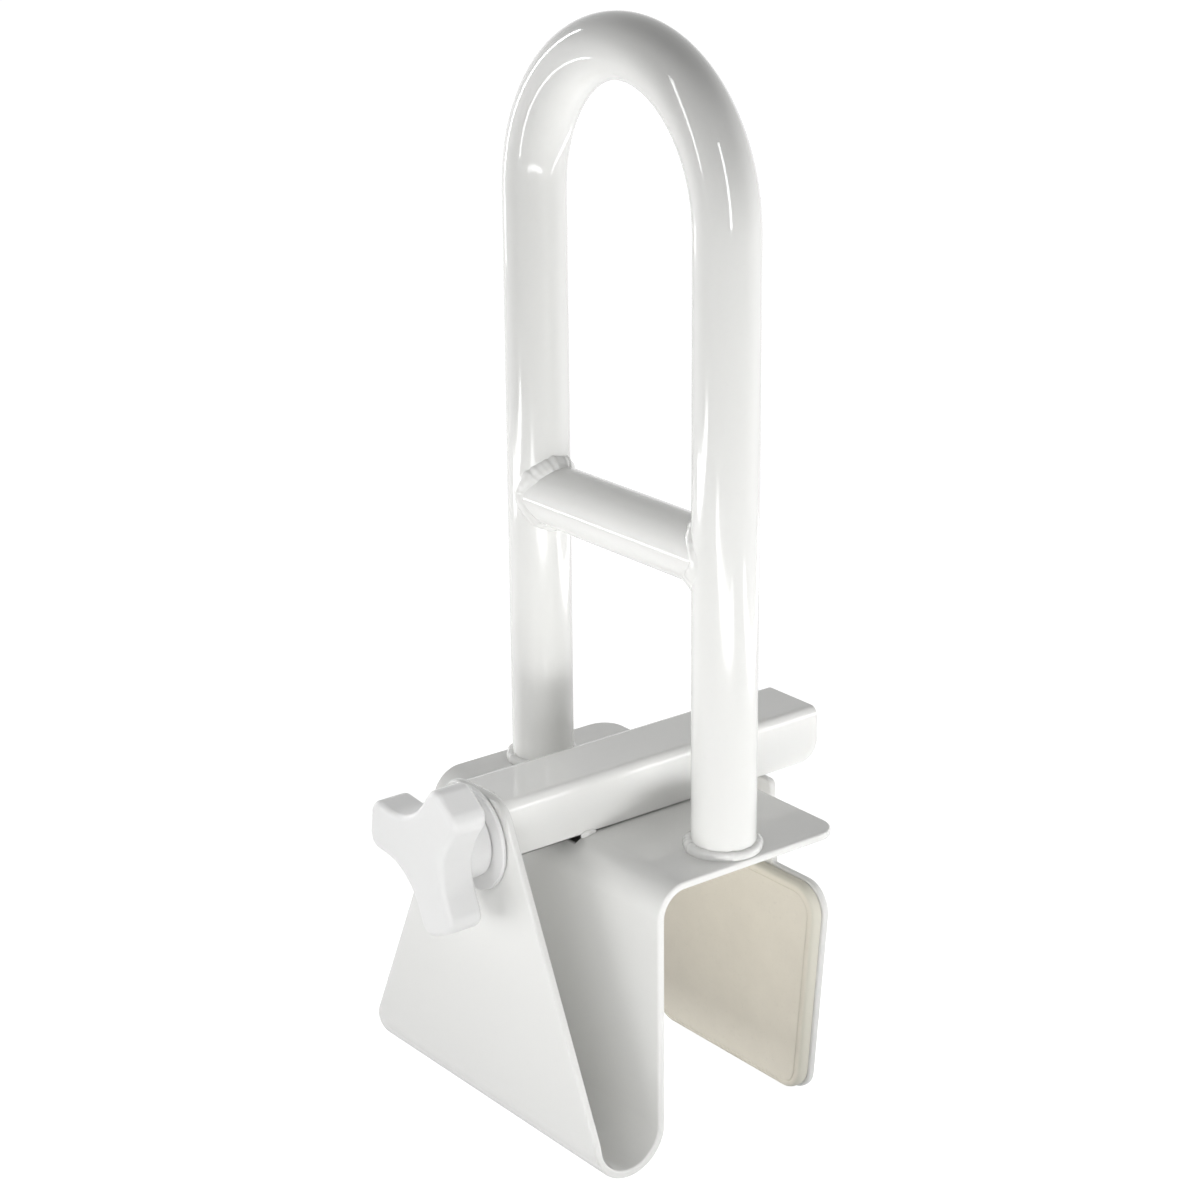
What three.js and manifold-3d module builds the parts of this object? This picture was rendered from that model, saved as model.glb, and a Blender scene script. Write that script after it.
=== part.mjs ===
// Clamp-on bathtub safety rail.
// Millimetres, +Z up. X runs along the tub rim, Y across it towards the inside of the tub.
// The origin lies on the underside of the saddle's top plate, below the plane of the handle.

import * as THREE from 'three';
import { mergeVertices } from 'three/addons/utils/BufferGeometryUtils.js';
import Module from 'manifold-3d';

const wasm = await Module();
wasm.setup();

// Clearances
const seatGap = 0.3;
const slideGap = 0.8;
const toolReach = 40;

// Handle and crossbar
const tubeDiameter = 25.4;
const tubeWall = 1.6;
const legSpacing = 115.4;
const springHeight = 239;
const archRise = 61;
const crossbarHeight = 116.2;

// Saddle sheet
const sheetThickness = 3.2;
const saddleWidth = 147.2;
const plateReach = 46.7;
const wallFaceReach = 42.2;
const saddleDrop = 112.5;
const troughDepth = 33.8;
const topBendRadius = 10;
const plateCornerRadius = 10;
const frontRise = 25;
const frontTopWidth = 34.9;
const frontTopCorner = 8;
const frontFootCorner = 3;

// Guide channel
const channelWidth = 32.5;
const channelHeight = 23;
const channelWall = 2.5;
const channelCorner = 4;
const channelFarReach = 86;
const channelEndRadius = 9;

// Clamp screw
const screwDiameter = 8;
const screwHeight = 5.5;
const screwTipInset = 3;
const screwKnobDepth = 20;
const boreClearance = 0.4;
const ringDiameter = 13;
const ringThickness = 1.6;
const washerDiameter = 42;
const washerThickness = 2;
const nutAcrossFlats = 13;
const nutThickness = 6.5;
const nutSides = 6;

// Knob
const lobeReach = 32.2;
const lobeWidth = 20.4;
const lobeCorner = 6;
const lobeValleyRadius = 25;
const lobeThickness = 16;
const lobeBevel = 2;
const lobeTurnShare = 174 / 360;
const lobeCount = 3;
const bossDiameter = 30;
const bossLength = 8.9;

// Far jaw and pads
const jawFaceReach = 56;
const jawTopWidth = 110.8;
const jawBottomWidth = 93;
const jawShoulderDrop = 33.1;
const jawHeight = 96;
const jawTopCorner = 12;
const jawBottomCorner = 10;
const neckWidth = 42;
const neckFootWidth = 46;
const neckCorner = 6;
const padThickness = 5;
const padInset = 0.6;
const padBevel = 0.9;
const nearPadHeight = 76;
const nearPadDrop = 16;

// Weld beads
const baseWeldSize = 2.8;
const barWeldSize = 2.8;
const barWeldEase = 3;
const tackWeldSize = 2.8;
const tackWeldInset = 2;
const tackWeldStretchShare = 1.2;
const frontWeldSize = 2.2;
const frontWeldShare = 0.62;

// Mesh fineness
const roundSides = 28;
const archSteps = 40;
const arcSteps = 8;
const weldSteps = 40;
const weldSides = 10;
const bevelSteps = 2;

// Levels and planes that follow from the sizes
const plateTop = sheetThickness;
const seatTop = plateTop + seatGap;
const tubeRadius = tubeDiameter / 2;
const boreRadius = tubeRadius - tubeWall;
const legX = legSpacing / 2;
const halfSaddle = saddleWidth / 2;
const frontTop = plateTop + frontRise;
const frontFace = -wallFaceReach - troughDepth;
const frontInside = frontFace + sheetThickness;
const troughRadius = troughDepth / 2;
const troughAxisY = -wallFaceReach - troughRadius;
const troughAxisZ = troughRadius - saddleDrop;
const channelTop = plateTop + channelHeight;
const channelInside = channelWidth / 2 - channelWall;
const screwAxis = plateTop + screwHeight;
const screwRadius = screwDiameter / 2;
const looseRadius = screwRadius + boreClearance;
const jawBottom = -jawShoulderDrop - jawHeight;

const paint = { color: 0xf3f4f3, roughness: 0.22, metalness: 0.0 };
const zinc = { color: 0xb7babc, roughness: 0.35, metalness: 0.9 };
const plastic = { color: 0xf1f1ef, roughness: 0.38, metalness: 0.0 };
const rubber = { color: 0xcfc7b2, roughness: 0.8, metalness: 0.0 };

function mesh(name, geometry, finish) {
  const flat = geometry.clone();
  flat.computeVertexNormals();
  const piece = new THREE.Mesh(flat, new THREE.MeshStandardMaterial({ ...finish }));
  piece.name = name;
  return piece;
}

function solid(geometry) {
  const bare = geometry.clone();
  bare.deleteAttribute('normal');
  bare.deleteAttribute('uv');
  const welded = mergeVertices(bare);
  return new wasm.Manifold(new wasm.Mesh({
    numProp: 3,
    vertProperties: new Float32Array(welded.attributes.position.array),
    triVerts: new Uint32Array(welded.index.array),
  }));
}

function surface(body) {
  const data = body.getMesh();
  const geometry = new THREE.BufferGeometry();
  geometry.setAttribute('position', new THREE.BufferAttribute(new Float32Array(data.vertProperties), 3));
  geometry.setIndex(new THREE.BufferAttribute(new Uint32Array(data.triVerts), 1));
  return geometry;
}

function carve(geometry, tools) {
  let body = solid(geometry);
  for (const tool of tools) {
    body = body.subtract(solid(tool));
  }
  return surface(body);
}

// Extrusions of a flat outline along each axis, from one coordinate to another
function alongX(outline, from, to) {
  const geometry = new THREE.ExtrudeGeometry(outline, {
    depth: to - from, bevelEnabled: false, curveSegments: arcSteps,
  });
  const turn = new THREE.Matrix4().makeBasis(
    new THREE.Vector3(0, 1, 0), new THREE.Vector3(0, 0, 1), new THREE.Vector3(1, 0, 0));
  return geometry.applyMatrix4(turn).translate(from, 0, 0);
}

function alongY(outline, from, to, bevel = 0) {
  const geometry = new THREE.ExtrudeGeometry(outline, {
    depth: to - from - bevel - bevel,
    bevelEnabled: bevel > 0,
    bevelThickness: bevel,
    bevelSize: bevel,
    bevelOffset: -bevel,
    bevelSegments: bevelSteps,
    curveSegments: arcSteps,
  });
  const turn = new THREE.Matrix4().makeBasis(
    new THREE.Vector3(1, 0, 0), new THREE.Vector3(0, 0, 1), new THREE.Vector3(0, -1, 0));
  return geometry.applyMatrix4(turn).translate(0, to - bevel, 0);
}

function alongZ(outline, from, to) {
  const geometry = new THREE.ExtrudeGeometry(outline, {
    depth: to - from, bevelEnabled: false, curveSegments: arcSteps,
  });
  return geometry.translate(0, 0, from);
}

function rodX(radius, from, to, y, z) {
  const rod = new THREE.CylinderGeometry(radius, radius, to - from, roundSides);
  return rod.rotateZ(Math.PI / 2).translate((from + to) / 2, y, z);
}

function rodY(radius, from, to, x, z) {
  const rod = new THREE.CylinderGeometry(radius, radius, to - from, roundSides);
  return rod.translate(x, (from + to) / 2, z);
}

function rodZ(radius, from, to, x, y) {
  const rod = new THREE.CylinderGeometry(radius, radius, to - from, roundSides);
  return rod.rotateX(Math.PI / 2).translate(x, y, (from + to) / 2);
}

function disc(radius, hole) {
  const outline = new THREE.Shape().absarc(0, 0, radius, 0, Math.PI * 2);
  outline.holes.push(new THREE.Path().absarc(0, 0, hole, 0, Math.PI * 2, true));
  return outline;
}

// Outline drawn through corners that are each rounded by their own radius
function roundedOutline(corners) {
  const outline = new THREE.Shape();
  corners.forEach(([x, y, radius], index) => {
    const [px, py] = corners[(index + corners.length - 1) % corners.length];
    const [nx, ny] = corners[(index + 1) % corners.length];
    const corner = new THREE.Vector2(x, y);
    const back = new THREE.Vector2(px, py).sub(corner).normalize();
    const ahead = new THREE.Vector2(nx, ny).sub(corner).normalize();
    const opening = Math.acos(THREE.MathUtils.clamp(back.dot(ahead), -1, 1));
    const run = radius / Math.tan(opening / 2);
    const start = corner.clone().addScaledVector(back, run);
    const end = corner.clone().addScaledVector(ahead, run);
    if (index === 0) {
      outline.moveTo(start.x, start.y);
    } else {
      outline.lineTo(start.x, start.y);
    }
    if (radius > 0) {
      const bisector = back.clone().add(ahead).normalize();
      const centre = corner.clone().addScaledVector(bisector, radius / Math.sin(opening / 2));
      const clockwise = back.cross(ahead) > 0;
      outline.absarc(centre.x, centre.y, radius,
        Math.atan2(start.y - centre.y, start.x - centre.x),
        Math.atan2(end.y - centre.y, end.x - centre.x), clockwise);
    }
  });
  outline.closePath();
  return outline;
}

// Grid of rings joined into a closed skin; caps join the first and last rings
function ringSkin(rings, looped, capped) {
  const sides = rings[0].length;
  const positions = rings.flat().flatMap((point) => [point.x, point.y, point.z]);
  const faces = [];
  const spans = looped ? rings.length : rings.length - 1;
  for (let i = 0; i < spans; i += 1) {
    const near = i * sides;
    const far = ((i + 1) % rings.length) * sides;
    for (let j = 0; j < sides; j += 1) {
      const next = (j + 1) % sides;
      faces.push(near + j, near + next, far + next, near + j, far + next, far + j);
    }
  }
  if (capped) {
    const last = (rings.length - 1) * sides;
    for (let j = 1; j < sides - 1; j += 1) {
      faces.push(0, j + 1, j, last, last + j, last + j + 1);
    }
  }
  const geometry = new THREE.BufferGeometry();
  geometry.setAttribute('position', new THREE.BufferAttribute(new Float32Array(positions), 3));
  geometry.setIndex(faces);
  return geometry;
}

// Stations of the handle's centreline: up one leg, over the arch, down the other
function handleStations() {
  const base = seatTop;
  const spring = plateTop + springHeight;
  const stations = [{ x: legX, z: base, nx: 1, nz: 0 }];
  for (let i = 0; i <= archSteps; i += 1) {
    const angle = Math.PI * i / archSteps;
    const out = new THREE.Vector2(Math.cos(angle) * archRise, Math.sin(angle) * legX).normalize();
    stations.push({
      x: legX * Math.cos(angle), z: spring + archRise * Math.sin(angle), nx: out.x, nz: out.y,
    });
  }
  stations.push({ x: -legX, z: base, nx: -1, nz: 0 });
  return stations;
}

function handleRings(radius, overrun) {
  const stations = handleStations();
  return stations.map((station, index) => {
    const isEnd = index === 0 || index === stations.length - 1;
    const z = isEnd ? station.z - overrun : station.z;
    const ring = [];
    for (let j = 0; j < roundSides; j += 1) {
      const turn = Math.PI * 2 * j / roundSides;
      const out = radius * Math.cos(turn);
      ring.push(new THREE.Vector3(
        station.x + out * station.nx, radius * Math.sin(turn), z + out * station.nz));
    }
    return ring;
  });
}

function handleTube() {
  const outer = ringSkin(handleRings(tubeRadius, 0), false, true);
  const bore = ringSkin(handleRings(boreRadius, toolReach), false, true);
  return carve(outer, [bore]);
}

function crossbarTube() {
  const z = plateTop + crossbarHeight;
  return carve(rodX(tubeRadius, -legX, legX, 0, z), [
    rodX(boreRadius, -legX - toolReach, legX + toolReach, 0, z),
    rodZ(tubeRadius + seatGap, z - toolReach, z + toolReach, -legX, 0),
    rodZ(tubeRadius + seatGap, z - toolReach, z + toolReach, legX, 0),
  ]);
}

// Side view of the bent sheet: top plate, wall leg, trough and front plate
function saddleProfile() {
  const bendY = topBendRadius - wallFaceReach;
  const outer = topBendRadius + sheetThickness;
  const inner = troughRadius - sheetThickness;
  const profile = new THREE.Shape();
  profile.moveTo(plateReach, 0);
  profile.lineTo(plateReach, plateTop);
  profile.lineTo(bendY, plateTop);
  profile.absarc(bendY, -topBendRadius, outer, Math.PI / 2, Math.PI, false);
  profile.lineTo(-wallFaceReach - sheetThickness, troughAxisZ);
  profile.absarc(troughAxisY, troughAxisZ, inner, 0, -Math.PI, true);
  profile.lineTo(frontInside, frontTop);
  profile.lineTo(frontFace, frontTop);
  profile.lineTo(frontFace, troughAxisZ);
  profile.absarc(troughAxisY, troughAxisZ, troughRadius, -Math.PI, 0, false);
  profile.lineTo(-wallFaceReach, -topBendRadius);
  profile.absarc(bendY, -topBendRadius, topBendRadius, Math.PI, Math.PI / 2, true);
  profile.closePath();
  return profile;
}

// Waste beside the tapered front plate, on one side
function frontWaste(side) {
  const foot = new THREE.Vector2(side * halfSaddle, troughAxisZ);
  const shoulder = new THREE.Vector2(side * frontTopWidth / 2, frontTop);
  const slope = shoulder.clone().sub(foot).normalize();
  const clear = side * (halfSaddle + toolReach);
  const rise = foot.clone().addScaledVector(slope, frontFootCorner);
  const turn = shoulder.clone().addScaledVector(slope, -frontTopCorner);
  const waste = new THREE.Shape();
  waste.moveTo(clear, foot.y - frontFootCorner);
  waste.lineTo(foot.x, foot.y - frontFootCorner);
  waste.quadraticCurveTo(foot.x, foot.y, rise.x, rise.y);
  waste.lineTo(turn.x, turn.y);
  waste.quadraticCurveTo(shoulder.x, shoulder.y, shoulder.x - side * frontTopCorner, shoulder.y);
  waste.lineTo(shoulder.x - side * frontTopCorner, shoulder.y + toolReach);
  waste.lineTo(clear, shoulder.y + toolReach);
  waste.closePath();
  return alongY(waste, frontFace - toolReach, troughAxisY);
}

function plateCornerWaste(side) {
  const centre = side * (halfSaddle - plateCornerRadius);
  const arcEnd = plateReach - plateCornerRadius;
  const waste = new THREE.Shape();
  waste.moveTo(side * (halfSaddle + toolReach), arcEnd);
  waste.lineTo(side * halfSaddle, arcEnd);
  waste.absarc(centre, arcEnd, plateCornerRadius, side > 0 ? 0 : Math.PI, Math.PI / 2, side < 0);
  waste.lineTo(centre, plateReach + toolReach);
  waste.lineTo(side * (halfSaddle + toolReach), plateReach + toolReach);
  waste.closePath();
  return alongZ(waste, -toolReach, toolReach);
}

function saddleSheet() {
  return carve(alongX(saddleProfile(), -halfSaddle, halfSaddle), [
    frontWaste(-1),
    frontWaste(1),
    plateCornerWaste(-1),
    plateCornerWaste(1),
    rodY(looseRadius, frontFace - toolReach, troughAxisY, 0, screwAxis),
  ]);
}

// Open-bottomed channel that carries the screw and guides the jaw
function guideChannel() {
  const half = channelWidth / 2;
  const inner = Math.max(channelCorner - channelWall, seatGap);
  const section = roundedOutline([
    [half, seatTop, 0],
    [half, channelTop, channelCorner],
    [-half, channelTop, channelCorner],
    [-half, seatTop, 0],
    [-channelInside, seatTop, 0],
    [-channelInside, channelTop - channelWall, inner],
    [channelInside, channelTop - channelWall, inner],
    [channelInside, seatTop, 0],
  ]);
  const waste = new THREE.Shape();
  const arcStart = channelFarReach - channelEndRadius;
  waste.moveTo(arcStart, seatTop - toolReach);
  waste.lineTo(arcStart, seatTop);
  waste.absarc(arcStart, seatTop + channelEndRadius, channelEndRadius, -Math.PI / 2, 0, false);
  waste.lineTo(channelFarReach + toolReach, seatTop + channelEndRadius);
  waste.lineTo(channelFarReach + toolReach, seatTop - toolReach);
  waste.closePath();
  return carve(alongY(section, frontInside + seatGap, channelFarReach), [
    alongX(waste, -channelWidth, channelWidth),
  ]);
}

// Ring of weld round the foot of a leg
function baseWeld() {
  const inner = tubeRadius + seatGap;
  const profile = [new THREE.Vector2(inner, 0)];
  for (let i = 0; i <= arcSteps; i += 1) {
    const angle = Math.PI / 2 * i / arcSteps;
    profile.push(new THREE.Vector2(
      inner + baseWeldSize * Math.cos(angle), baseWeldSize * Math.sin(angle)));
  }
  profile.push(new THREE.Vector2(inner, 0));
  return new THREE.LatheGeometry(profile, roundSides).rotateX(Math.PI / 2);
}

// Bead along the line where the crossbar meets a leg, trimmed back from both tubes
function crossbarWeld(side) {
  const z = plateTop + crossbarHeight;
  const points = [];
  for (let i = 0; i < weldSteps; i += 1) {
    const angle = Math.PI * 2 * i / weldSteps;
    const rise = tubeRadius * Math.sin(angle);
    points.push(new THREE.Vector3(
      side * (legX - Math.hypot(rise, barWeldEase)), tubeRadius * Math.cos(angle), z + rise));
  }
  const rings = points.map((point, i) => {
    const ahead = points[(i + 1) % weldSteps];
    const behind = points[(i + weldSteps - 1) % weldSteps];
    const tangent = ahead.clone().sub(behind).normalize();
    const out = new THREE.Vector3(0, point.y, point.z - z).normalize();
    out.addScaledVector(tangent, -out.dot(tangent)).normalize();
    const across = tangent.clone().cross(out);
    const ring = [];
    for (let j = 0; j < weldSides; j += 1) {
      const turn = Math.PI * 2 * j / weldSides;
      ring.push(point.clone()
        .addScaledVector(out, barWeldSize * Math.cos(turn))
        .addScaledVector(across, barWeldSize * Math.sin(turn)));
    }
    return ring;
  });
  return carve(ringSkin(rings, true, false), [
    rodZ(tubeRadius + seatGap, z - toolReach, z + toolReach, side * legX, 0),
    rodX(tubeRadius + seatGap, -legX - toolReach, legX + toolReach, 0, z),
  ]);
}

// Tack where a channel wall meets the top plate
function tackWeld(side) {
  const y = topBendRadius - wallFaceReach - tackWeldInset;
  const bead = new THREE.SphereGeometry(tackWeldSize, roundSides / 2, arcSteps);
  bead.scale(1, tackWeldStretchShare, 1).translate(side * channelWidth / 2, y, plateTop);
  const wall = new THREE.Shape();
  const reach = channelWidth / 2 + seatGap;
  wall.moveTo(-reach, -toolReach);
  wall.lineTo(reach, -toolReach);
  wall.lineTo(reach, toolReach);
  wall.lineTo(-reach, toolReach);
  wall.closePath();
  const plate = new THREE.Shape();
  plate.moveTo(-toolReach, -toolReach);
  plate.lineTo(toolReach, -toolReach);
  plate.lineTo(toolReach, seatTop);
  plate.lineTo(-toolReach, seatTop);
  plate.closePath();
  return carve(bead, [
    alongY(wall, y - toolReach, y + toolReach),
    alongY(plate, y - toolReach, y + toolReach),
  ]);
}

// Bead across the channel's roof where it meets the front plate
function frontWeld() {
  const half = channelWidth * frontWeldShare / 2;
  const profile = new THREE.Shape();
  const y = frontInside + seatGap;
  const z = channelTop + seatGap;
  profile.moveTo(y, z);
  profile.lineTo(y + frontWeldSize, z);
  profile.absarc(y, z, frontWeldSize, 0, Math.PI / 2, false);
  profile.closePath();
  return alongX(profile, -half, half);
}

// Three-lobed outline with hollow valleys between the lobes
function lobeOutline() {
  const half = lobeWidth / 2;
  const sector = Math.PI / lobeCount;
  const valleyReach = (half + lobeValleyRadius) / Math.sin(sector);
  const outline = new THREE.Shape();
  for (let i = 0; i < lobeCount; i += 1) {
    const axis = Math.PI * 2 * (i / lobeCount + lobeTurnShare);
    const place = (along, across) => new THREE.Vector2(along, across).rotateAround(
      new THREE.Vector2(), axis);
    const low = place(lobeReach - lobeCorner, lobeCorner - half);
    const high = place(lobeReach - lobeCorner, half - lobeCorner);
    const valley = new THREE.Vector2(valleyReach, 0).rotateAround(new THREE.Vector2(), axis + sector);
    outline.absarc(low.x, low.y, lobeCorner, axis - Math.PI / 2, axis, false);
    outline.absarc(high.x, high.y, lobeCorner, axis, axis + Math.PI / 2, false);
    outline.absarc(valley.x, valley.y, lobeValleyRadius,
      axis - Math.PI / 2, axis + sector * 2 - Math.PI * 3 / 2, true);
  }
  outline.closePath();
  return outline;
}

// Distances along the screw, counted from the front plate's outer face
const washerBack = -seatGap;
const bossBack = washerBack - washerThickness - seatGap;
const lobeBack = bossBack - bossLength;
const knobFront = lobeBack - lobeThickness;
const screwStart = bossBack - screwKnobDepth;
const screwEnd = channelFarReach - screwTipInset - frontFace;

function knobBody() {
  const lobes = solid(alongY(lobeOutline(), knobFront, lobeBack, lobeBevel));
  const boss = solid(rodY(bossDiameter / 2, lobeBack - lobeThickness / 2, bossBack, 0, 0));
  const bore = solid(rodY(screwRadius + seatGap, screwStart - seatGap, bossBack + toolReach, 0, 0));
  return surface(lobes.add(boss).subtract(bore));
}

function screwRing(from) {
  return alongY(disc(ringDiameter / 2, screwRadius + seatGap), from, from + ringThickness);
}

// Jaw outline in the plane of the plate, with a neck and a tongue that runs in the channel
function jawOutline() {
  const shoulder = -jawShoulderDrop;
  const tongue = channelInside - slideGap;
  const neckTop = plateTop - seatGap;
  const right = [
    [jawBottomWidth / 2, jawBottom, jawBottomCorner],
    [jawTopWidth / 2, shoulder, jawTopCorner],
    [neckFootWidth / 2, shoulder, 0],
    [neckWidth / 2, neckTop, neckCorner],
    [tongue, neckTop, 0],
    [tongue, channelTop - channelWall - slideGap, 0],
  ];
  const left = right.map(([x, z, radius]) => [-x, z, radius]).reverse();
  return roundedOutline([...right, ...left]);
}

function jawPlate() {
  return carve(alongY(jawOutline(), 0, sheetThickness), [
    rodY(looseRadius, -toolReach, toolReach, 0, screwAxis),
  ]);
}

function farPad() {
  const bottom = jawBottomWidth / 2 - padInset;
  const top = jawTopWidth / 2 - padInset;
  const outline = roundedOutline([
    [bottom, jawBottom + padInset, jawBottomCorner],
    [top, -jawShoulderDrop - padInset, jawTopCorner],
    [-top, -jawShoulderDrop - padInset, jawTopCorner],
    [-bottom, jawBottom + padInset, jawBottomCorner],
  ]);
  return alongY(outline, -seatGap - padThickness, -seatGap, padBevel);
}

function nearPad() {
  const half = jawTopWidth / 2 - padInset;
  const top = -nearPadDrop;
  const bottom = top - nearPadHeight;
  const outline = roundedOutline([
    [half, bottom, jawBottomCorner],
    [half, top, jawBottomCorner],
    [-half, top, jawBottomCorner],
    [-half, bottom, jawBottomCorner],
  ]);
  return alongY(outline, seatGap, seatGap + padThickness, padBevel);
}

function nutBody() {
  const outline = new THREE.Shape();
  const corner = nutAcrossFlats / 2 / Math.cos(Math.PI / nutSides);
  for (let i = 0; i < nutSides; i += 1) {
    const angle = Math.PI * 2 * i / nutSides;
    const x = corner * Math.cos(angle);
    const z = corner * Math.sin(angle);
    if (i === 0) {
      outline.moveTo(x, z);
    } else {
      outline.lineTo(x, z);
    }
  }
  outline.closePath();
  outline.holes.push(new THREE.Path().absarc(0, 0, screwRadius + seatGap, 0, Math.PI * 2, true));
  return alongY(outline, 0, nutThickness);
}

const frame = new THREE.Group();
frame.name = 'frame_group';
frame.add(mesh('saddle_sheet', saddleSheet(), paint));
frame.add(mesh('handle_tube', handleTube(), paint));
frame.add(mesh('crossbar_tube', crossbarTube(), paint));
frame.add(mesh('guide_channel', guideChannel(), paint));
for (const [label, side] of [['left', -1], ['right', 1]]) {
  const ring = mesh(`weld_leg_${label}`, baseWeld(), paint);
  ring.position.set(side * legX, 0, seatTop);
  frame.add(ring);
  frame.add(mesh(`weld_crossbar_${label}`, crossbarWeld(side), paint));
  frame.add(mesh(`weld_channel_${label}`, tackWeld(side), paint));
}
frame.add(mesh('weld_channel_front', frontWeld(), paint));
const nearPadMesh = mesh('near_pad', nearPad(), rubber);
nearPadMesh.position.set(0, -wallFaceReach, 0);
frame.add(nearPadMesh);

const screwGroup = new THREE.Group();
screwGroup.name = 'screw_group';
screwGroup.position.set(0, frontFace, screwAxis);
screwGroup.add(mesh('knob', knobBody(), plastic));
screwGroup.add(mesh('clamp_screw', rodY(screwRadius, screwStart, screwEnd, 0, 0), zinc));
screwGroup.add(mesh('retaining_ring', screwRing(sheetThickness + seatGap), zinc));
screwGroup.add(mesh('stop_ring', screwRing(screwEnd - ringThickness - seatGap), zinc));
const washer = mesh('thrust_washer',
  alongY(disc(washerDiameter / 2, looseRadius), washerBack - washerThickness, washerBack), plastic);
screwGroup.add(washer);

const jawGroup = new THREE.Group();
jawGroup.name = 'jaw_group';
jawGroup.position.set(0, jawFaceReach, 0);
jawGroup.add(mesh('jaw_plate', jawPlate(), paint));
jawGroup.add(mesh('far_pad', farPad(), rubber));
const nut = mesh('travel_nut', nutBody(), zinc);
nut.position.set(0, sheetThickness + seatGap, screwAxis);
jawGroup.add(nut);

const group = new THREE.Group();
group.name = 'bathtub_safety_rail';
group.add(frame, screwGroup, jawGroup);
group.updateMatrixWorld(true);

export default group;
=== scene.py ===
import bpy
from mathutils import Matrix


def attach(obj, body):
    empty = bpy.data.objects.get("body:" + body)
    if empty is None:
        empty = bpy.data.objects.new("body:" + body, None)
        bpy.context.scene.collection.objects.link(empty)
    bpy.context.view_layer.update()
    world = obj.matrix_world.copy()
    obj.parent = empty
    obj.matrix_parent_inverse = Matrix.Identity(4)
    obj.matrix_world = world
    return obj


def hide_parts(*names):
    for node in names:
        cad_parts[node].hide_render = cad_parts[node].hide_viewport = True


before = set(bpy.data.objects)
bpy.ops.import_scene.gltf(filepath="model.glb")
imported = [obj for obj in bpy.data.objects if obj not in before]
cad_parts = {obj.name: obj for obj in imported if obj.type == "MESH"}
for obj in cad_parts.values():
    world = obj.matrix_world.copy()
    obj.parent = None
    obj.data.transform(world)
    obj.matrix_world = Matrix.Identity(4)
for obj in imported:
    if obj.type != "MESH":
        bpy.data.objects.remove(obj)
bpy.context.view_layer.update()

import math

import bpy
import numpy as np
from bpy.props import FloatProperty, FloatVectorProperty, IntProperty, PointerProperty
from mathutils import Matrix, Vector

bl_info = {
    "name": "Bathtub safety rail",
    "version": (1, 0, 0),
    "blender": (4, 5, 0),
    "location": "View3D > Sidebar > Safety rail",
    "description": "Builds the painted surfaces of a clamp-on bathtub safety rail",
    "category": "Add Mesh",
}

TAU = 2 * math.pi
MM = 0.001


def length(name, millimetres, description):
    """A size in metres, written in millimetres."""
    return FloatProperty(name=name, description=description, default=millimetres * MM,
                         min=0.0, unit="LENGTH", precision=4)


def colour(name, value, description):
    """A colour that the user can change."""
    return FloatVectorProperty(name=name, description=description, default=value,
                               min=0.0, max=1.0, subtype="COLOR")


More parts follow.
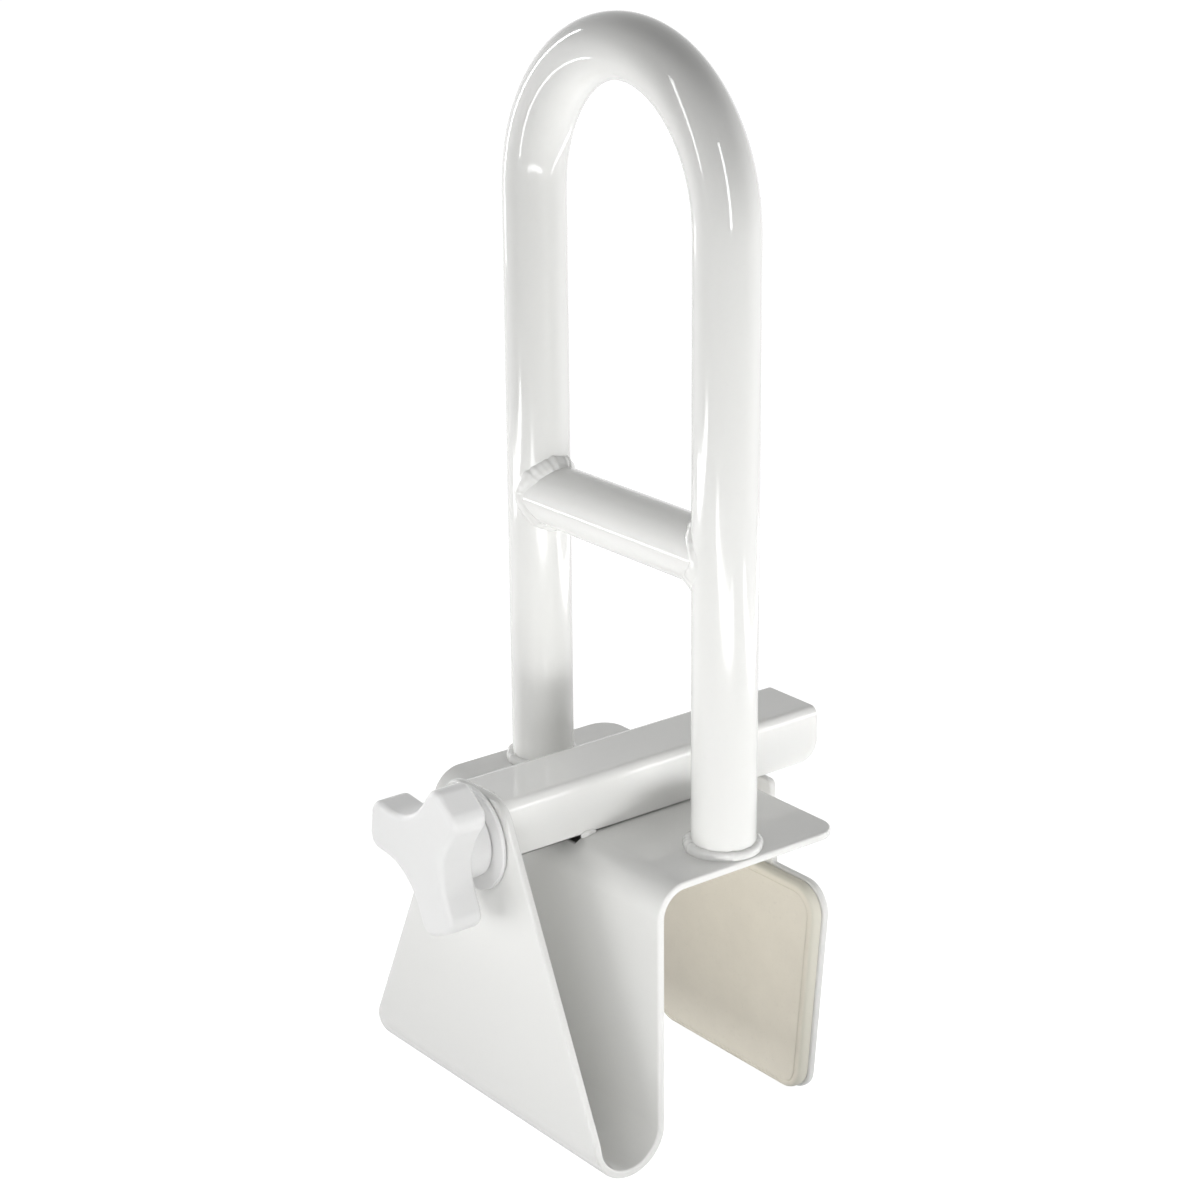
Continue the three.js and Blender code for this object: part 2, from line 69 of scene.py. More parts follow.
class RailSizes(bpy.types.PropertyGroup):
    """Sizes of the rail that the surfaces follow."""

    tube_radius: length("Tube radius", 12.7, "Outer radius of the handle and crossbar tubes")
    tube_wall: length("Tube wall", 1.6, "Wall thickness of the tubes")
    leg_x: length("Leg offset", 57.7, "Distance of each leg's axis from the middle")
    leg_foot: length("Leg foot", 3.5, "Height of the tube's cut ends")
    spring_z: length("Spring height", 242.2, "Height where the legs turn into the arch")
    arch_rise: length("Arch rise", 61.0, "Rise of the arch's centreline")
    crossbar_z: length("Crossbar height", 119.4, "Height of the crossbar's axis")
    sheet: length("Sheet thickness", 3.2, "Thickness of the saddle and jaw sheets")
    sheet_edge: length("Sheet edge", 0.9, "Rounding of the sheets' cut edges")
    saddle_half: length("Saddle half width", 73.6, "Half the saddle's width")
    plate_reach: length("Plate reach", 46.7, "Far edge of the top plate")
    plate_corner: length("Plate corner", 10.0, "Rounding of the top plate's far corners")
    wall_face: length("Wall face", 42.2, "Distance of the tub-side face from the middle")
    bend_radius: length("Bend radius", 10.0, "Inner radius of the bend at the rim")
    trough_depth: length("Trough depth", 33.8, "Depth of the trough outside the wall leg")
    saddle_drop: length("Saddle drop", 112.5, "Depth of the trough's lowest point")
    front_top: length("Front top", 28.2, "Height of the front plate's top edge")
    front_top_half: length("Front top half width", 17.45, "Half width of the front plate's top")
    front_corner: length("Front corner", 8.0, "Rounding of the front plate's top corners")
    channel_half: length("Channel half width", 16.25, "Half the guide channel's width")
    channel_top: length("Channel top", 26.2, "Height of the guide channel's roof")
    channel_wall: length("Channel wall", 2.5, "Sheet thickness of the guide channel")
    channel_corner: length("Channel corner", 4.0, "Outer radius of the channel's folds")
    channel_far: length("Channel reach", 86.0, "Far end of the guide channel")
    channel_end: length("Channel end radius", 9.0, "Rounding of the channel's low far corner")
    screw_z: length("Screw height", 8.7, "Height of the screw's axis")
    screw_radius: length("Screw radius", 4.0, "Outer radius of the screw's thread")
    screw_far: length("Screw reach", 83.0, "Far end of the screw")
    thread_pitch: length("Thread pitch", 1.25, "Advance of the thread in one turn")
    thread_depth: length("Thread depth", 0.68, "Depth of the thread")
    lobe_reach: length("Lobe reach", 32.2, "Reach of the knob's lobes")
    lobe_half: length("Lobe half width", 10.2, "Half the width of a lobe")
    lobe_corner: length("Lobe corner", 6.0, "Rounding of a lobe's end")
    lobe_valley: length("Lobe valley", 25.0, "Radius of the hollow between two lobes")
    lobe_thickness: length("Lobe thickness", 16.0, "Thickness of the lobes")
    lobe_edge: length("Lobe edge", 2.6, "Rounding of the knob's edges")
    boss_radius: length("Boss radius", 15.0, "Radius of the boss behind the lobes")
    boss_length: length("Boss length", 8.9, "Length of the boss behind the lobes")
    washer_radius: length("Washer radius", 21.0, "Radius of the thrust washer")
    washer: length("Washer thickness", 2.0, "Thickness of the thrust washer")
    ring_radius: length("Ring radius", 6.5, "Radius of the clips on the screw")
    ring: length("Ring thickness", 1.6, "Thickness of the clips on the screw")
    nut_half: length("Nut half width", 6.5, "Half the nut's width across its flats")
    nut: length("Nut thickness", 6.5, "Thickness of the nut")
    jaw_top_half: length("Jaw top half width", 55.4, "Half width of the jaw at its shoulders")
    jaw_foot_half: length("Jaw foot half width", 46.5, "Half width of the jaw at its foot")
    jaw_shoulder: length("Jaw shoulder", 33.1, "Depth of the jaw's shoulders")
    jaw_foot: length("Jaw foot", 129.1, "Depth of the jaw's lowest edge")
    jaw_top_corner: length("Jaw top corner", 12.0, "Rounding of the jaw's shoulders")
    jaw_foot_corner: length("Jaw foot corner", 10.0, "Rounding of the jaw's low corners")
    jaw_face: length("Jaw face", 56.0, "Distance of the jaw's padded face from the middle")
    neck_half: length("Neck half width", 21.0, "Half width of the jaw's neck at its top")
    neck_foot_half: length("Neck foot half width", 23.0, "Half width of the neck at the shoulders")
    neck_corner: length("Neck corner", 2.5, "Rounding of the neck's top corners")
    pad: length("Pad thickness", 5.0, "Thickness of the rubber pads")
    pad_inset: length("Pad inset", 0.6, "Step from the jaw's edge to the pad's edge")
    pad_corner: length("Pad corner", 11.0, "Rounding of the pads, bar the far pad's shoulders")
    pad_edge: length("Pad edge", 2.5, "Rounding of the pads' edges")
    near_pad_top: length("Near pad top", 16.0, "Depth of the near pad's top edge")
    near_pad_height: length("Near pad height", 76.0, "Height of the near pad")
    seat: length("Seat gap", 0.3, "Gap between neighbouring pieces")
    weld: length("Weld size", 3.0, "Reach of the weld beads from their corners")


class RailFinish(bpy.types.PropertyGroup):
    """Colours of the rail's finishes."""

    paint: colour("Paint", (0.80, 0.80, 0.782), "White powder coat")
    plastic: colour("Plastic", (0.76, 0.76, 0.755), "White moulded knob")
    rubber: colour("Rubber", (0.83, 0.786, 0.69), "Cream rubber on the faces of the pads")
    rubber_side: colour("Rubber side", (0.69, 0.68, 0.59), "Cream rubber on the sides of the pads")
    zinc: colour("Zinc", (0.62, 0.63, 0.64), "Bright zinc on the screw")


class StudioSetup(bpy.types.PropertyGroup):
    """Light and floor of the studio."""

    glow: FloatProperty(name="Glow", description="World strength where it is brightest",
                        default=1.6, min=0.0)
    lamps: FloatProperty(name="Lamps", description="Gain on every lamp", default=1.0, min=0.0)
    floor_depth: length("Floor depth", 129.6, "Depth of the floor below the origin")
    floor_reach: FloatProperty(name="Floor reach", description="Half the floor's width",
                               default=6.0, min=0.1, unit="LENGTH")
    turns: IntProperty(name="Round steps", description="Steps round the tubes",
                       default=72, min=8)


def sizes():
    """The rail's sizes."""
    return bpy.context.scene.rail_sizes


def finish_of(name):
    """A finish material by name, made on its first use."""
    material = bpy.data.materials.get(name)
    if material is None:
        material = bpy.data.materials.new(name)
        fill, settings = MATERIALS[name]
        fill(Recipe(material), bpy.context.scene.rail_finish, **settings)
    return material


# Meshes

def add_piece(name, points, faces):
    """A mesh object from points and face lists. Its faces are turned outwards when the volume that
    they enclose, the sum of the triple products of their corners, comes out negative."""
    points = np.asarray(points, float).reshape(-1, 3)
    inside_out = enclosed_volume(points, faces) < 0
    mesh = bpy.data.meshes.new(name)
    mesh.from_pydata(points.tolist(), [], [face[::-1] if inside_out else face for face in faces])
    mesh.polygons.foreach_set("use_smooth", np.ones(len(faces), bool))
    mesh.update()
    piece = bpy.data.objects.new(name, mesh)
    bpy.context.scene.collection.objects.link(piece)
    return piece


def enclosed_volume(points, faces):
    """Six times the signed volume inside a closed skin, summed over fans of triangles."""
    total = 0.0
    for corners in sorted(set(len(face) for face in faces)):
        place = points[np.array([face for face in faces if len(face) == corners])]
        first, second, third = place[:, :1], place[:, 1:-1], place[:, 2:]
        total += float((first * np.cross(second, third)).sum())
    return total


def grid_faces(rows, columns, wrap_rows=False, wrap_columns=False):
    """Quads between neighbouring rows and columns of a grid of points."""
    i, j = np.meshgrid(np.arange(rows if wrap_rows else rows - 1),
                       np.arange(columns if wrap_columns else columns - 1), indexing="ij")
    i, j = i.ravel(), j.ravel()
    k, m = (i + 1) % rows, (j + 1) % columns
    corners = [i * columns + j, i * columns + m, k * columns + m, k * columns + j]
    return np.stack(corners, 1).tolist()


def rod_faces(rows, columns):
    """Quads round a row of rings, and one face on each end."""
    ring = np.arange(columns)
    return grid_faces(rows, columns, wrap_columns=True) + [
        ring[::-1].tolist(), (ring + (rows - 1) * columns).tolist()]


def dress(piece, body, material, slot, *nodes):
    """Gives a piece its finish, its body and the CAD nodes that it stands for."""
    piece.data.materials.append(finish_of(material))
    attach(piece, body)
    if nodes:
        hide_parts(*nodes)
    return piece


def unit(vectors):
    """Vectors brought to length one."""
    return vectors / np.linalg.norm(vectors, axis=-1, keepdims=True)


def parabola(start, crown, end, share):
    """The curve from start to end that is drawn towards the crown point."""
    return start * (1 - share) ** 2 + 2 * crown * share * (1 - share) + end * share ** 2


def weigh_normals(piece):
    """Large faces lead the shading, so flat faces stay flat between their rounded edges."""
    weighted = piece.modifiers.new("weighted_normals", "WEIGHTED_NORMAL")
    weighted.mode = "FACE_AREA"
    weighted.weight = 60


def rounded_loop(corners, steps=10):
    """A closed outline through corners (a, b, radius), each replaced by an arc that touches both
    of its sides."""
    corners = np.asarray(corners, float)
    loop = []
    for index, (a, b, radius) in enumerate(corners):
        here = np.array([a, b])
        if radius == 0:
            loop.append(here[None])
            continue
        back = unit(corners[index - 1, :2] - here)
        ahead = unit(corners[(index + 1) % len(corners), :2] - here)
        half = math.acos(np.clip(back @ ahead, -1, 1)) / 2
        centre = here + unit(back + ahead) * radius / math.sin(half)
        start, end = (here + side * radius / math.tan(half) - centre for side in (back, ahead))
        first = math.atan2(start[1], start[0])
        turn = (math.atan2(end[1], end[0]) - first + math.pi) % TAU - math.pi
        angle = first + turn * np.linspace(0, 1, steps)
        loop.append(centre + radius * np.stack([np.cos(angle), np.sin(angle)], 1))
    return np.concatenate(loop)


def mirrored(corners):
    """The corners of one half of an outline, then their mirror images in reverse order."""
    return corners + [(-a, b, radius) for a, b, radius in corners[::-1]]


def inward(loop):
    """Unit normals that point into a closed outline: the run from the last point to the next,
    turned by a quarter turn, on the side that the outline's signed area gives."""
    ahead, behind = np.roll(loop, -1, 0), np.roll(loop, 1, 0)
    run = unit(unit(ahead - loop) + unit(loop - behind))
    area = (loop[:, 0] * ahead[:, 1] - loop[:, 1] * ahead[:, 0]).sum()
    return np.stack([-run[:, 1], run[:, 0]], 1) * math.copysign(1, area)


def rim(edge, low, high, steps):
    """Insets and heights round a sheet's rim: a quarter circle of the edge's radius down from the
    upper face, then one into the lower face."""
    angle = np.linspace(math.pi / 2, 0, steps)
    inset, drop = edge * (1 - np.cos(angle)), edge * (1 - np.sin(angle))
    return (np.concatenate([inset, inset[::-1]]),
            np.concatenate([high - drop, (low + drop)[::-1]]))


# Share of its edge rounding that a grooved plate keeps on the face without the groove
FLAT_FACE_SHARE = 0.12


def slab(name, loop, low, high, place, edge, steps=5, groove=()):
    """A flat plate with rounded rims. Each ring is the outline moved inwards by the rim's inset at
    the rim's height, and place turns outline and height into the row frame. A groove adds further
    rings (inset, depth) to the low face, or to the high face when the depths are negative, and
    the other face keeps only a small share of its rounding."""
    normal = inward(loop)
    insets, heights = rim(edge, low, high, steps)
    if groove:
        further = np.array(groove)
        turned = further[:, 1].min() < 0
        flat = low if turned else high
        behind = (heights - (low + high) / 2) * (flat - (low + high) / 2) > 0
        insets = np.where(behind, insets * FLAT_FACE_SHARE, insets)
        heights = np.where(behind, flat + (heights - flat) * FLAT_FACE_SHARE, heights)
        if turned:
            insets = np.concatenate([further[::-1, 0], insets])
            heights = np.concatenate([high + further[::-1, 1], heights])
        else:
            insets = np.concatenate([insets, further[:, 0]])
            heights = np.concatenate([heights, low + further[:, 1]])
    rings = [place(loop + normal * d, np.full(len(loop), h)) for d, h in zip(insets, heights)]
    piece = add_piece(name, np.concatenate(rings), rod_faces(len(rings), len(loop)))
    weigh_normals(piece)
    return piece


def upright(loop, height):
    """An outline across and up, with the height along the tub's width."""
    return np.stack([loop[:, 0], height, loop[:, 1]], 1)


def full_turn(steps):
    """Even angles once round a circle."""
    return TAU * np.arange(steps) / steps


def round_screw(radius, turn, along):
    """Points at a radius and a turn round the screw's axis, and a place along it."""
    return np.stack([radius * np.sin(turn), along[:, None] + 0 * radius,
                     sizes().screw_z + radius * np.cos(turn)], 2)


def spun(name, radii, along, turns=64, stretch=None):
    """A ring profile of radii and places along the screw's axis, turned once round that axis.
    stretch changes the radii by the turn's angle, as for a nut's flats."""
    turn = full_turn(turns)
    radius = radii[:, None] * np.ones(turns)
    if stretch is not None:
        radius = stretch(radius, turn[None])
    piece = add_piece(name, round_screw(radius, turn, along),
                      grid_faces(len(radii), turns, True, True))
    weigh_normals(piece)
    return piece


def ring_profile(bore, outer, start, end, edge, steps=5):
    """The closed section of a washer: two bore corners, then two rounded outer corners."""
    angle = np.linspace(0, math.pi / 2, steps)
    swing, rise = edge * np.cos(angle), edge * np.sin(angle)
    middle = (start + end) / 2
    radii = np.concatenate([[bore, bore, bore], outer - edge + rise, outer - edge + rise[::-1]])
    along = np.concatenate([[end, middle, start], start + edge - swing, (end - edge + swing[::-1])])
    return radii, along


def bent_path(start, heading, moves):
    """The middle line of a bent sheet, from runs (length, steps) and turns (radius, angle, steps).
    Returns the distance walked, the points and the unit normals on the line's right."""
    here, walked = np.array(start, float), 0.0
    distance, points, normals = [[0.0]], [here[None]], None
    for move in moves:
        ahead = np.array([math.cos(heading), math.sin(heading)])
        right = np.array([ahead[1], -ahead[0]])
        if normals is None:
            normals = [right[None]]
        if len(move) == 2:
            share = np.arange(1, move[1] + 1)[:, None] / move[1]
            points.append(here + ahead * move[0] * share)
            normals.append(np.repeat(right[None], move[1], 0))
            distance.append(walked + move[0] * share[:, 0])
            walked += move[0]
        else:
            radius, turn, steps = move
            share = np.arange(1, steps + 1) / steps
            side = math.copysign(1, turn)
            centre = here - right * radius * side
            angle = heading + turn * share
            turned = np.stack([np.sin(angle), -np.cos(angle)], 1)
            points.append(centre + turned * radius * side)
            normals.append(turned)
            distance.append(walked + radius * abs(turn) * share)
            walked += radius * abs(turn)
            heading += turn
        here = points[-1][-1]
    return np.concatenate(distance), np.concatenate(points), np.concatenate(normals)


def sheet_skin(name, left, right, columns, path, order, thickness, edge):
    """A bent sheet as one closed skin. left and right are its two long edges on the flat cut. The
    flat cut's faces are grids stretched between those edges, and its rim is the boundary, moved
    inwards and down by the rim's quarter circles. path is the middle line that bends the cut, and
    order says which of the bent cut's three coordinates are x, y and z."""
    walked, line, normal_line = path

    def fold(cut, height):
        """The cut's first coordinate walks along the middle line, the second goes across."""
        at, out = (np.stack([np.interp(cut[:, 0], walked, values[:, k]) for k in (0, 1)], 1)
                   for values in (line, normal_line))
        return np.column_stack([at + unit(out) * height, cut[:, 1]])[:, order]

    rows = len(left)
    share = np.linspace(0, 1, columns)[None, :, None]
    cut = left[:, None] * (1 - share) + right[:, None] * share
    index = np.arange(rows * columns).reshape(rows, columns)
    border = np.concatenate([index[:, 0], index[-1, 1:], index[-2::-1, -1], index[0, -2:0:-1]])
    flat = cut.reshape(-1, 2)
    normal = inward(flat[border])
    inset = flat.copy()
    inset[border] += normal * edge
    inset = inset.reshape(rows, columns, 2)
    inset[1:-1] = inset[1:-1, :1] * (1 - share) + inset[1:-1, -1:] * share
    inset = inset.reshape(-1, 2)
    insets, heights = rim(edge, -thickness / 2, thickness / 2, 5)
    rings = [fold(flat[border] + normal * d, h) for d, h in zip(insets[1:-1], heights[1:-1])]
    points = np.concatenate([fold(inset, thickness / 2), fold(inset, -thickness / 2)] + rings)
    upper = grid_faces(rows, columns)
    lower = [[corner + rows * columns for corner in face[::-1]] for face in upper]
    start = 2 * rows * columns
    loops = [border] + [start + len(border) * k + np.arange(len(border))
                        for k in range(len(rings))] + [border + rows * columns]
    walls = []
    for near, far in zip(loops[:-1], loops[1:]):
        walls += np.stack([near, np.roll(near, -1), np.roll(far, -1), far], 1).tolist()
    piece = add_piece(name, points, upper + lower + walls)
    weigh_normals(piece)
    return piece


def lumps(turn, seed, strength):
    """Uneven size of a hand-laid bead: a few sine waves whose phases come from the seed."""
    counts = (2, 3, 5, 9, 14, 23, 34)
    phase = np.random.default_rng(seed).uniform(0, TAU, len(counts))
    waves = [np.sin(count * turn + phase[k]) / (1 + 0.35 * k) for k, count in enumerate(counts)]
    return 1 + strength * sum(waves) / 2


def spatter(turn, places, width, strength):
    """Small drops on a bead: a bell curve of the turn round each place, in degrees."""
    drops = [np.exp(-((turn - math.radians(place) % TAU) / width) ** 2) for place in places]
    return 1 + strength * sum(drops)


# Bend between two faces of a bead above which their edge is sharp
SHARP_ANGLE = math.radians(70)


def bead_skin(name, upper_toe, crown, lower_toe, root, wrap=True):
    """A weld bead. Each section is the parabola from one toe to the other, drawn towards the crown
    point, and closed through the root that lies inside the welded pieces."""
    face = parabola(upper_toe[:, None], crown[:, None], lower_toe[:, None],
                    np.linspace(0, 1, 12)[None, :, None])
    points = np.concatenate([face, root[:, None]], 1)
    rows, columns = points.shape[:2]
    faces = grid_faces(rows, columns, True, True) if wrap else rod_faces(rows, columns)
    piece = add_piece(name, points, faces)
    piece.data.set_sharp_from_angle(angle=SHARP_ANGLE)
    return piece


# Finishes

class Value:
    """A number that varies over a material. Arithmetic on it adds Math nodes."""

    def __init__(self, recipe, socket):
        self.recipe, self.socket = recipe, socket

    def __add__(self, other):
        return self.recipe.maths("ADD", self, other)

    def __radd__(self, other):
        return self.recipe.maths("ADD", other, self)

    def __sub__(self, other):
        return self.recipe.maths("SUBTRACT", self, other)

    def __rsub__(self, other):
        return self.recipe.maths("SUBTRACT", other, self)

    def __mul__(self, other):
        return self.recipe.maths("MULTIPLY", self, other)

    def __rmul__(self, other):
        return self.recipe.maths("MULTIPLY", other, self)

    def clamped(self, low, high):
        """The value held between two limits."""
        return self.recipe.maths("MAXIMUM", self.recipe.maths("MINIMUM", self, high), low)


class Recipe:
    """The node tree of one material or world."""

    def __init__(self, owner):
        """Empties the tree of a material or world."""
        owner.use_nodes = True
        self.tree = owner.node_tree
        self.tree.nodes.clear()

    def node(self, kind, settings, inputs):
        """A node of a type, with its settings first and then its sockets' values or links."""
        node = self.tree.nodes.new(kind)
        for name, value in settings.items():
            if name == "stops":
                fill_ramp(node.color_ramp, value)
            else:
                setattr(node, name, value)
        for name, value in inputs.items():
            if isinstance(value, Value):
                value = value.socket
            if isinstance(value, bpy.types.NodeSocket):
                self.tree.links.new(value, node.inputs[name])
            else:
                node.inputs[name].default_value = value
        return node

    def maths(self, operation, first, second):
        """The result of a Math node."""
        made = self.node("ShaderNodeMath", {"operation": operation}, {0: first, 1: second})
        return Value(self, made.outputs[0])

    def place(self):
        """Object coordinates, in metres in the row frame."""
        return self.node("ShaderNodeTexCoord", {}, {}).outputs["Object"]

    def noise(self, scale, detail=2.0, roughness=0.5, distortion=0.0):
        """Smooth noise with features of about one over scale metres."""
        made = self.node("ShaderNodeTexNoise", {}, {
            "Vector": self.place(), "Scale": scale, "Detail": detail, "Roughness": roughness,
            "Distortion": distortion})
        return Value(self, made.outputs[0])

    def ramp(self, factor, stops):
        """A value through a ramp of greys."""
        made = self.node("ShaderNodeValToRGB", {"stops": stops}, {"Fac": factor})
        return Value(self, made.outputs["Color"])

    def mix(self, factor, first, second):
        """A colour between two colours."""
        made = self.node("ShaderNodeMix", {"data_type": "RGBA"}, {0: factor, 6: first, 7: second})
        return made.outputs[2]

    def bump(self, height, distance, **under):
        """A bumped normal, laid over another Normal if given."""
        inputs = {"Height": height, "Distance": distance, "Strength": 1.0, **under}
        return self.node("ShaderNodeBump", {}, inputs).outputs["Normal"]

    def surface(self, inputs):
        """The Principled surface joined to the output."""
        shader = self.node("ShaderNodeBsdfPrincipled", {}, inputs)
        self.node("ShaderNodeOutputMaterial", {}, {"Surface": shader.outputs[0]})


def fill_ramp(ramp, stops):
    """Sets a colour ramp's stops, each a position and a grey."""
    while len(ramp.elements) < len(stops):
        ramp.elements.new(0.5)
    for element, (position, grey) in zip(ramp.elements, stops):
        element.position = position
        element.color = (grey, grey, grey, 1)


def rgba(value, gain=1.0):
    """A colour with full alpha, brightened or darkened by a gain."""
    return tuple(min(channel * gain, 1.0) for channel in value) + (1.0,)


def painted(recipe, colours, gain=1.0, roughness=0.08, peel=0.5, shaded_bend=False):
    """White powder coat: faint orange peel in the bump, soft cloudiness in the gloss, a little dust
    in the colour and fine scuffs that dull it. On the saddle the bend under the channel is painted
    near black, a painted shade for the dark gap under the channel."""
    paint = colours.paint
    cloud = recipe.noise(18.0, 3.0)
    dust = recipe.ramp(recipe.noise(420.0, 4.0, 0.7), [(0.60, 0.0), (0.78, 1.0)])
    scuff = recipe.ramp(recipe.noise(95.0, 5.0, 0.65, 1.5), [(0.62, 0.0), (0.74, 1.0)])
    clean = recipe.mix(cloud, rgba(paint, 0.985 * gain), rgba(paint, 1.01 * gain))
    tone = recipe.mix(dust * 0.10 + scuff * 0.05, clean, rgba(paint, 0.78 * gain))
    # Painted shade: the bend under the channel turns near black where the gap under the channel
    # lies in shade
    if shaded_bend:
        tone = recipe.mix(shade_under_channel(recipe), tone, rgba(BEND_SHADE_COLOUR))
    wave = recipe.bump(recipe.noise(210.0, 1.5), 0.00006 * peel)
    grain = recipe.bump(recipe.noise(1500.0, 2.0), 0.000006 * peel, Normal=wave)
    recipe.surface({
        "Base Color": tone, "Normal": grain,
        "Roughness": (cloud * 0.05 + scuff * 0.10 + (roughness - 0.03)).clamped(0.05, 0.6),
        "IOR": 1.5, "Coat Weight": 0.3, "Coat Roughness": 0.04})


# The painted shade's near-black colour on the bend under the channel, and how steeply it fades
# across, along and down the bend
BEND_SHADE_COLOUR = (0.03, 0.03, 0.028)
FADE_ACROSS, FADE_ALONG, FADE_DOWN = 60000, 400, 1200


def shade_under_channel(recipe):
    """A mask of the painted shade on the bend inside the channel: between its walls, along the bend
    and not far down. Each limit is a ramp, a distance times a gain held between 0 and 1."""
    x, y, z = (Value(recipe, axis) for axis in
               recipe.node("ShaderNodeSeparateXYZ", {}, {"Vector": recipe.place()}).outputs)
    half = sizes().channel_half - 0.1 * MM
    start = -sizes().wall_face - sizes().sheet - 2 * MM
    end = sizes().bend_radius - sizes().wall_face - 1 * MM
    inside = ((half * half - x * x) * FADE_ACROSS).clamped(0, 1)
    along = ((y - start) * FADE_ALONG).clamped(0, 1) * ((end - y) * FADE_ALONG).clamped(0, 1)
    return inside * along * ((z - 0.3 * MM) * FADE_DOWN).clamped(0, 1)


def moulded(recipe, colours):
    """Satin moulded plastic: fine moulding grain, slight cloudiness and rubbed patches."""
    plastic = colours.plastic
    cloud = recipe.noise(40.0, 3.0)
    rub = recipe.ramp(recipe.noise(160.0, 5.0, 0.7, 1.0), [(0.58, 0.0), (0.75, 1.0)])
    tone = recipe.mix(cloud * 0.6 + rub * 0.3, rgba(plastic), rgba(plastic, 0.965))
    grain = recipe.bump(recipe.noise(900.0, 3.0), 0.00001)
    recipe.surface({
        "Base Color": tone, "Normal": grain,
        "Roughness": (cloud * 0.06 + rub * 0.08 + 0.27).clamped(0.1, 0.6),
        "IOR": 1.48, "Subsurface Weight": 0.05, "Subsurface Radius": (0.004, 0.004, 0.004)})


def rubbered(recipe, colours):
    """Matt cream rubber: mottled colour, small pits and a soft sheen. The sides are coloured darker
    and greyer than the faces, told from the faces by the normal's share along the tub's width."""
    rubber = colours.rubber
    mottle = recipe.noise(60.0, 5.0, 0.65)
    speck = recipe.ramp(recipe.noise(700.0, 3.0, 0.6), [(0.60, 0.0), (0.70, 1.0)])
    facing = recipe.node("ShaderNodeTexCoord", {}, {}).outputs["Normal"]
    facing = Value(recipe, recipe.node("ShaderNodeSeparateXYZ", {}, {"Vector": facing}).outputs[1])
    face = recipe.ramp(facing * facing, [(0.45, 0.0), (0.85, 1.0)])
    base = recipe.mix(face, rgba(colours.rubber_side), rgba(rubber, 1.05))
    tone = recipe.mix(mottle * 0.8 + speck * 0.25, base, rgba(rubber, 0.90))
    soft = recipe.bump(recipe.noise(120.0, 3.0), 0.00012)
    pits = recipe.bump(0.5 * mottle + speck, 0.00004, Normal=soft)
    recipe.surface({
        "Base Color": tone, "Normal": pits, "IOR": 1.45,
        "Roughness": (mottle * 0.12 + 0.62).clamped(0.3, 0.95)})


def plated(recipe, colours):
    """Bright zinc plating: fine turning lines across the axis and cloudy dull patches."""
    zinc = colours.zinc
    cloud = recipe.noise(140.0, 4.0)
    stretched = recipe.node("ShaderNodeMapping", {}, {
        "Vector": recipe.place(), "Scale": (60.0, 4000.0, 60.0)}).outputs[0]
    lines = recipe.node("ShaderNodeTexNoise", {}, {
        "Vector": stretched, "Scale": 1.0, "Detail": 2.0}).outputs[0]
    tone = recipe.mix(cloud, rgba(zinc), rgba(zinc, 0.82))
    recipe.surface({
        "Base Color": tone, "Metallic": 1.0, "Normal": recipe.bump(lines, 0.00001),
        "Roughness": (cloud * 0.16 + 0.24).clamped(0.1, 0.8)})


# Each finish: the function that fills its tree, and the settings that differ from usual
MATERIALS = {
    "white_powder_coat": (painted, {}),
    # The saddle's coat carries the painted shade on the bend under the channel
    "white_saddle_coat": (painted, {"shaded_bend": True}),
    "white_weld_coat": (painted, {"gain": 0.99, "roughness": 0.16, "peel": 2.5}),
    "white_moulded_plastic": (moulded, {}),
    "cream_rubber": (rubbered, {}),
    "bright_zinc": (plated, {}),
}


# Pieces

def add_tube(name, skins):
    """A tube's closed skin: the rings of its outer surface, then those of its bore on the way
    back."""
    points = np.concatenate([skins[0], skins[1][::-1]])
    return add_piece(name, points, grid_faces(*points.shape[:2], True, True))


# Steps up a leg, and points round the arch
LEG_STEPS, ARCH_STEPS = 29, 97


class RAIL_OT_handle(bpy.types.Operator):
    """Build the bent handle tube"""
    bl_idname = "rail.handle"
    bl_label = "Handle tube"

    def execute(self, context):
        """A circle carried up one leg, over a half ellipse and down the other leg, then back along
        the bore, so that the wall closes on itself."""
        s = sizes()
        climb = np.linspace(s.leg_foot, s.spring_z, LEG_STEPS + 1)[:-1]
        leg = np.ones(LEG_STEPS)
        arc = np.linspace(0, math.pi, ARCH_STEPS)
        x = np.concatenate([leg * s.leg_x, s.leg_x * np.cos(arc), -leg * s.leg_x])
        z = np.concatenate([climb, s.spring_z + s.arch_rise * np.sin(arc), climb[::-1]])
        out_x = np.concatenate([leg, s.arch_rise * np.cos(arc), -leg])
        out_z = np.concatenate([0 * leg, s.leg_x * np.sin(arc), 0 * leg])
        size = np.hypot(out_x, out_z)
        out_x, out_z = (out_x / size)[:, None], (out_z / size)[:, None]
        turn = full_turn(context.scene.studio.turns)
        skins = []
        for radius in (s.tube_radius, s.tube_radius - s.tube_wall):
            out = radius * np.cos(turn)
            skins.append(np.stack([x[:, None] + out * out_x, radius * np.sin(turn) + 0 * out_x,
                                   z[:, None] + out * out_z], 2))
        piece = add_tube("handle", skins)
        weigh_normals(piece)
        dress(piece, "frame", "white_powder_coat", "tube_paint", "handle_tube")
        return {"FINISHED"}


def bar_end(s, across):
    """Where the crossbar's surface meets a leg of the same radius: the leg's axis less half the
    leg's chord at that distance across."""
    return s.leg_x - np.sqrt(np.maximum(s.tube_radius ** 2 - across ** 2, 0))


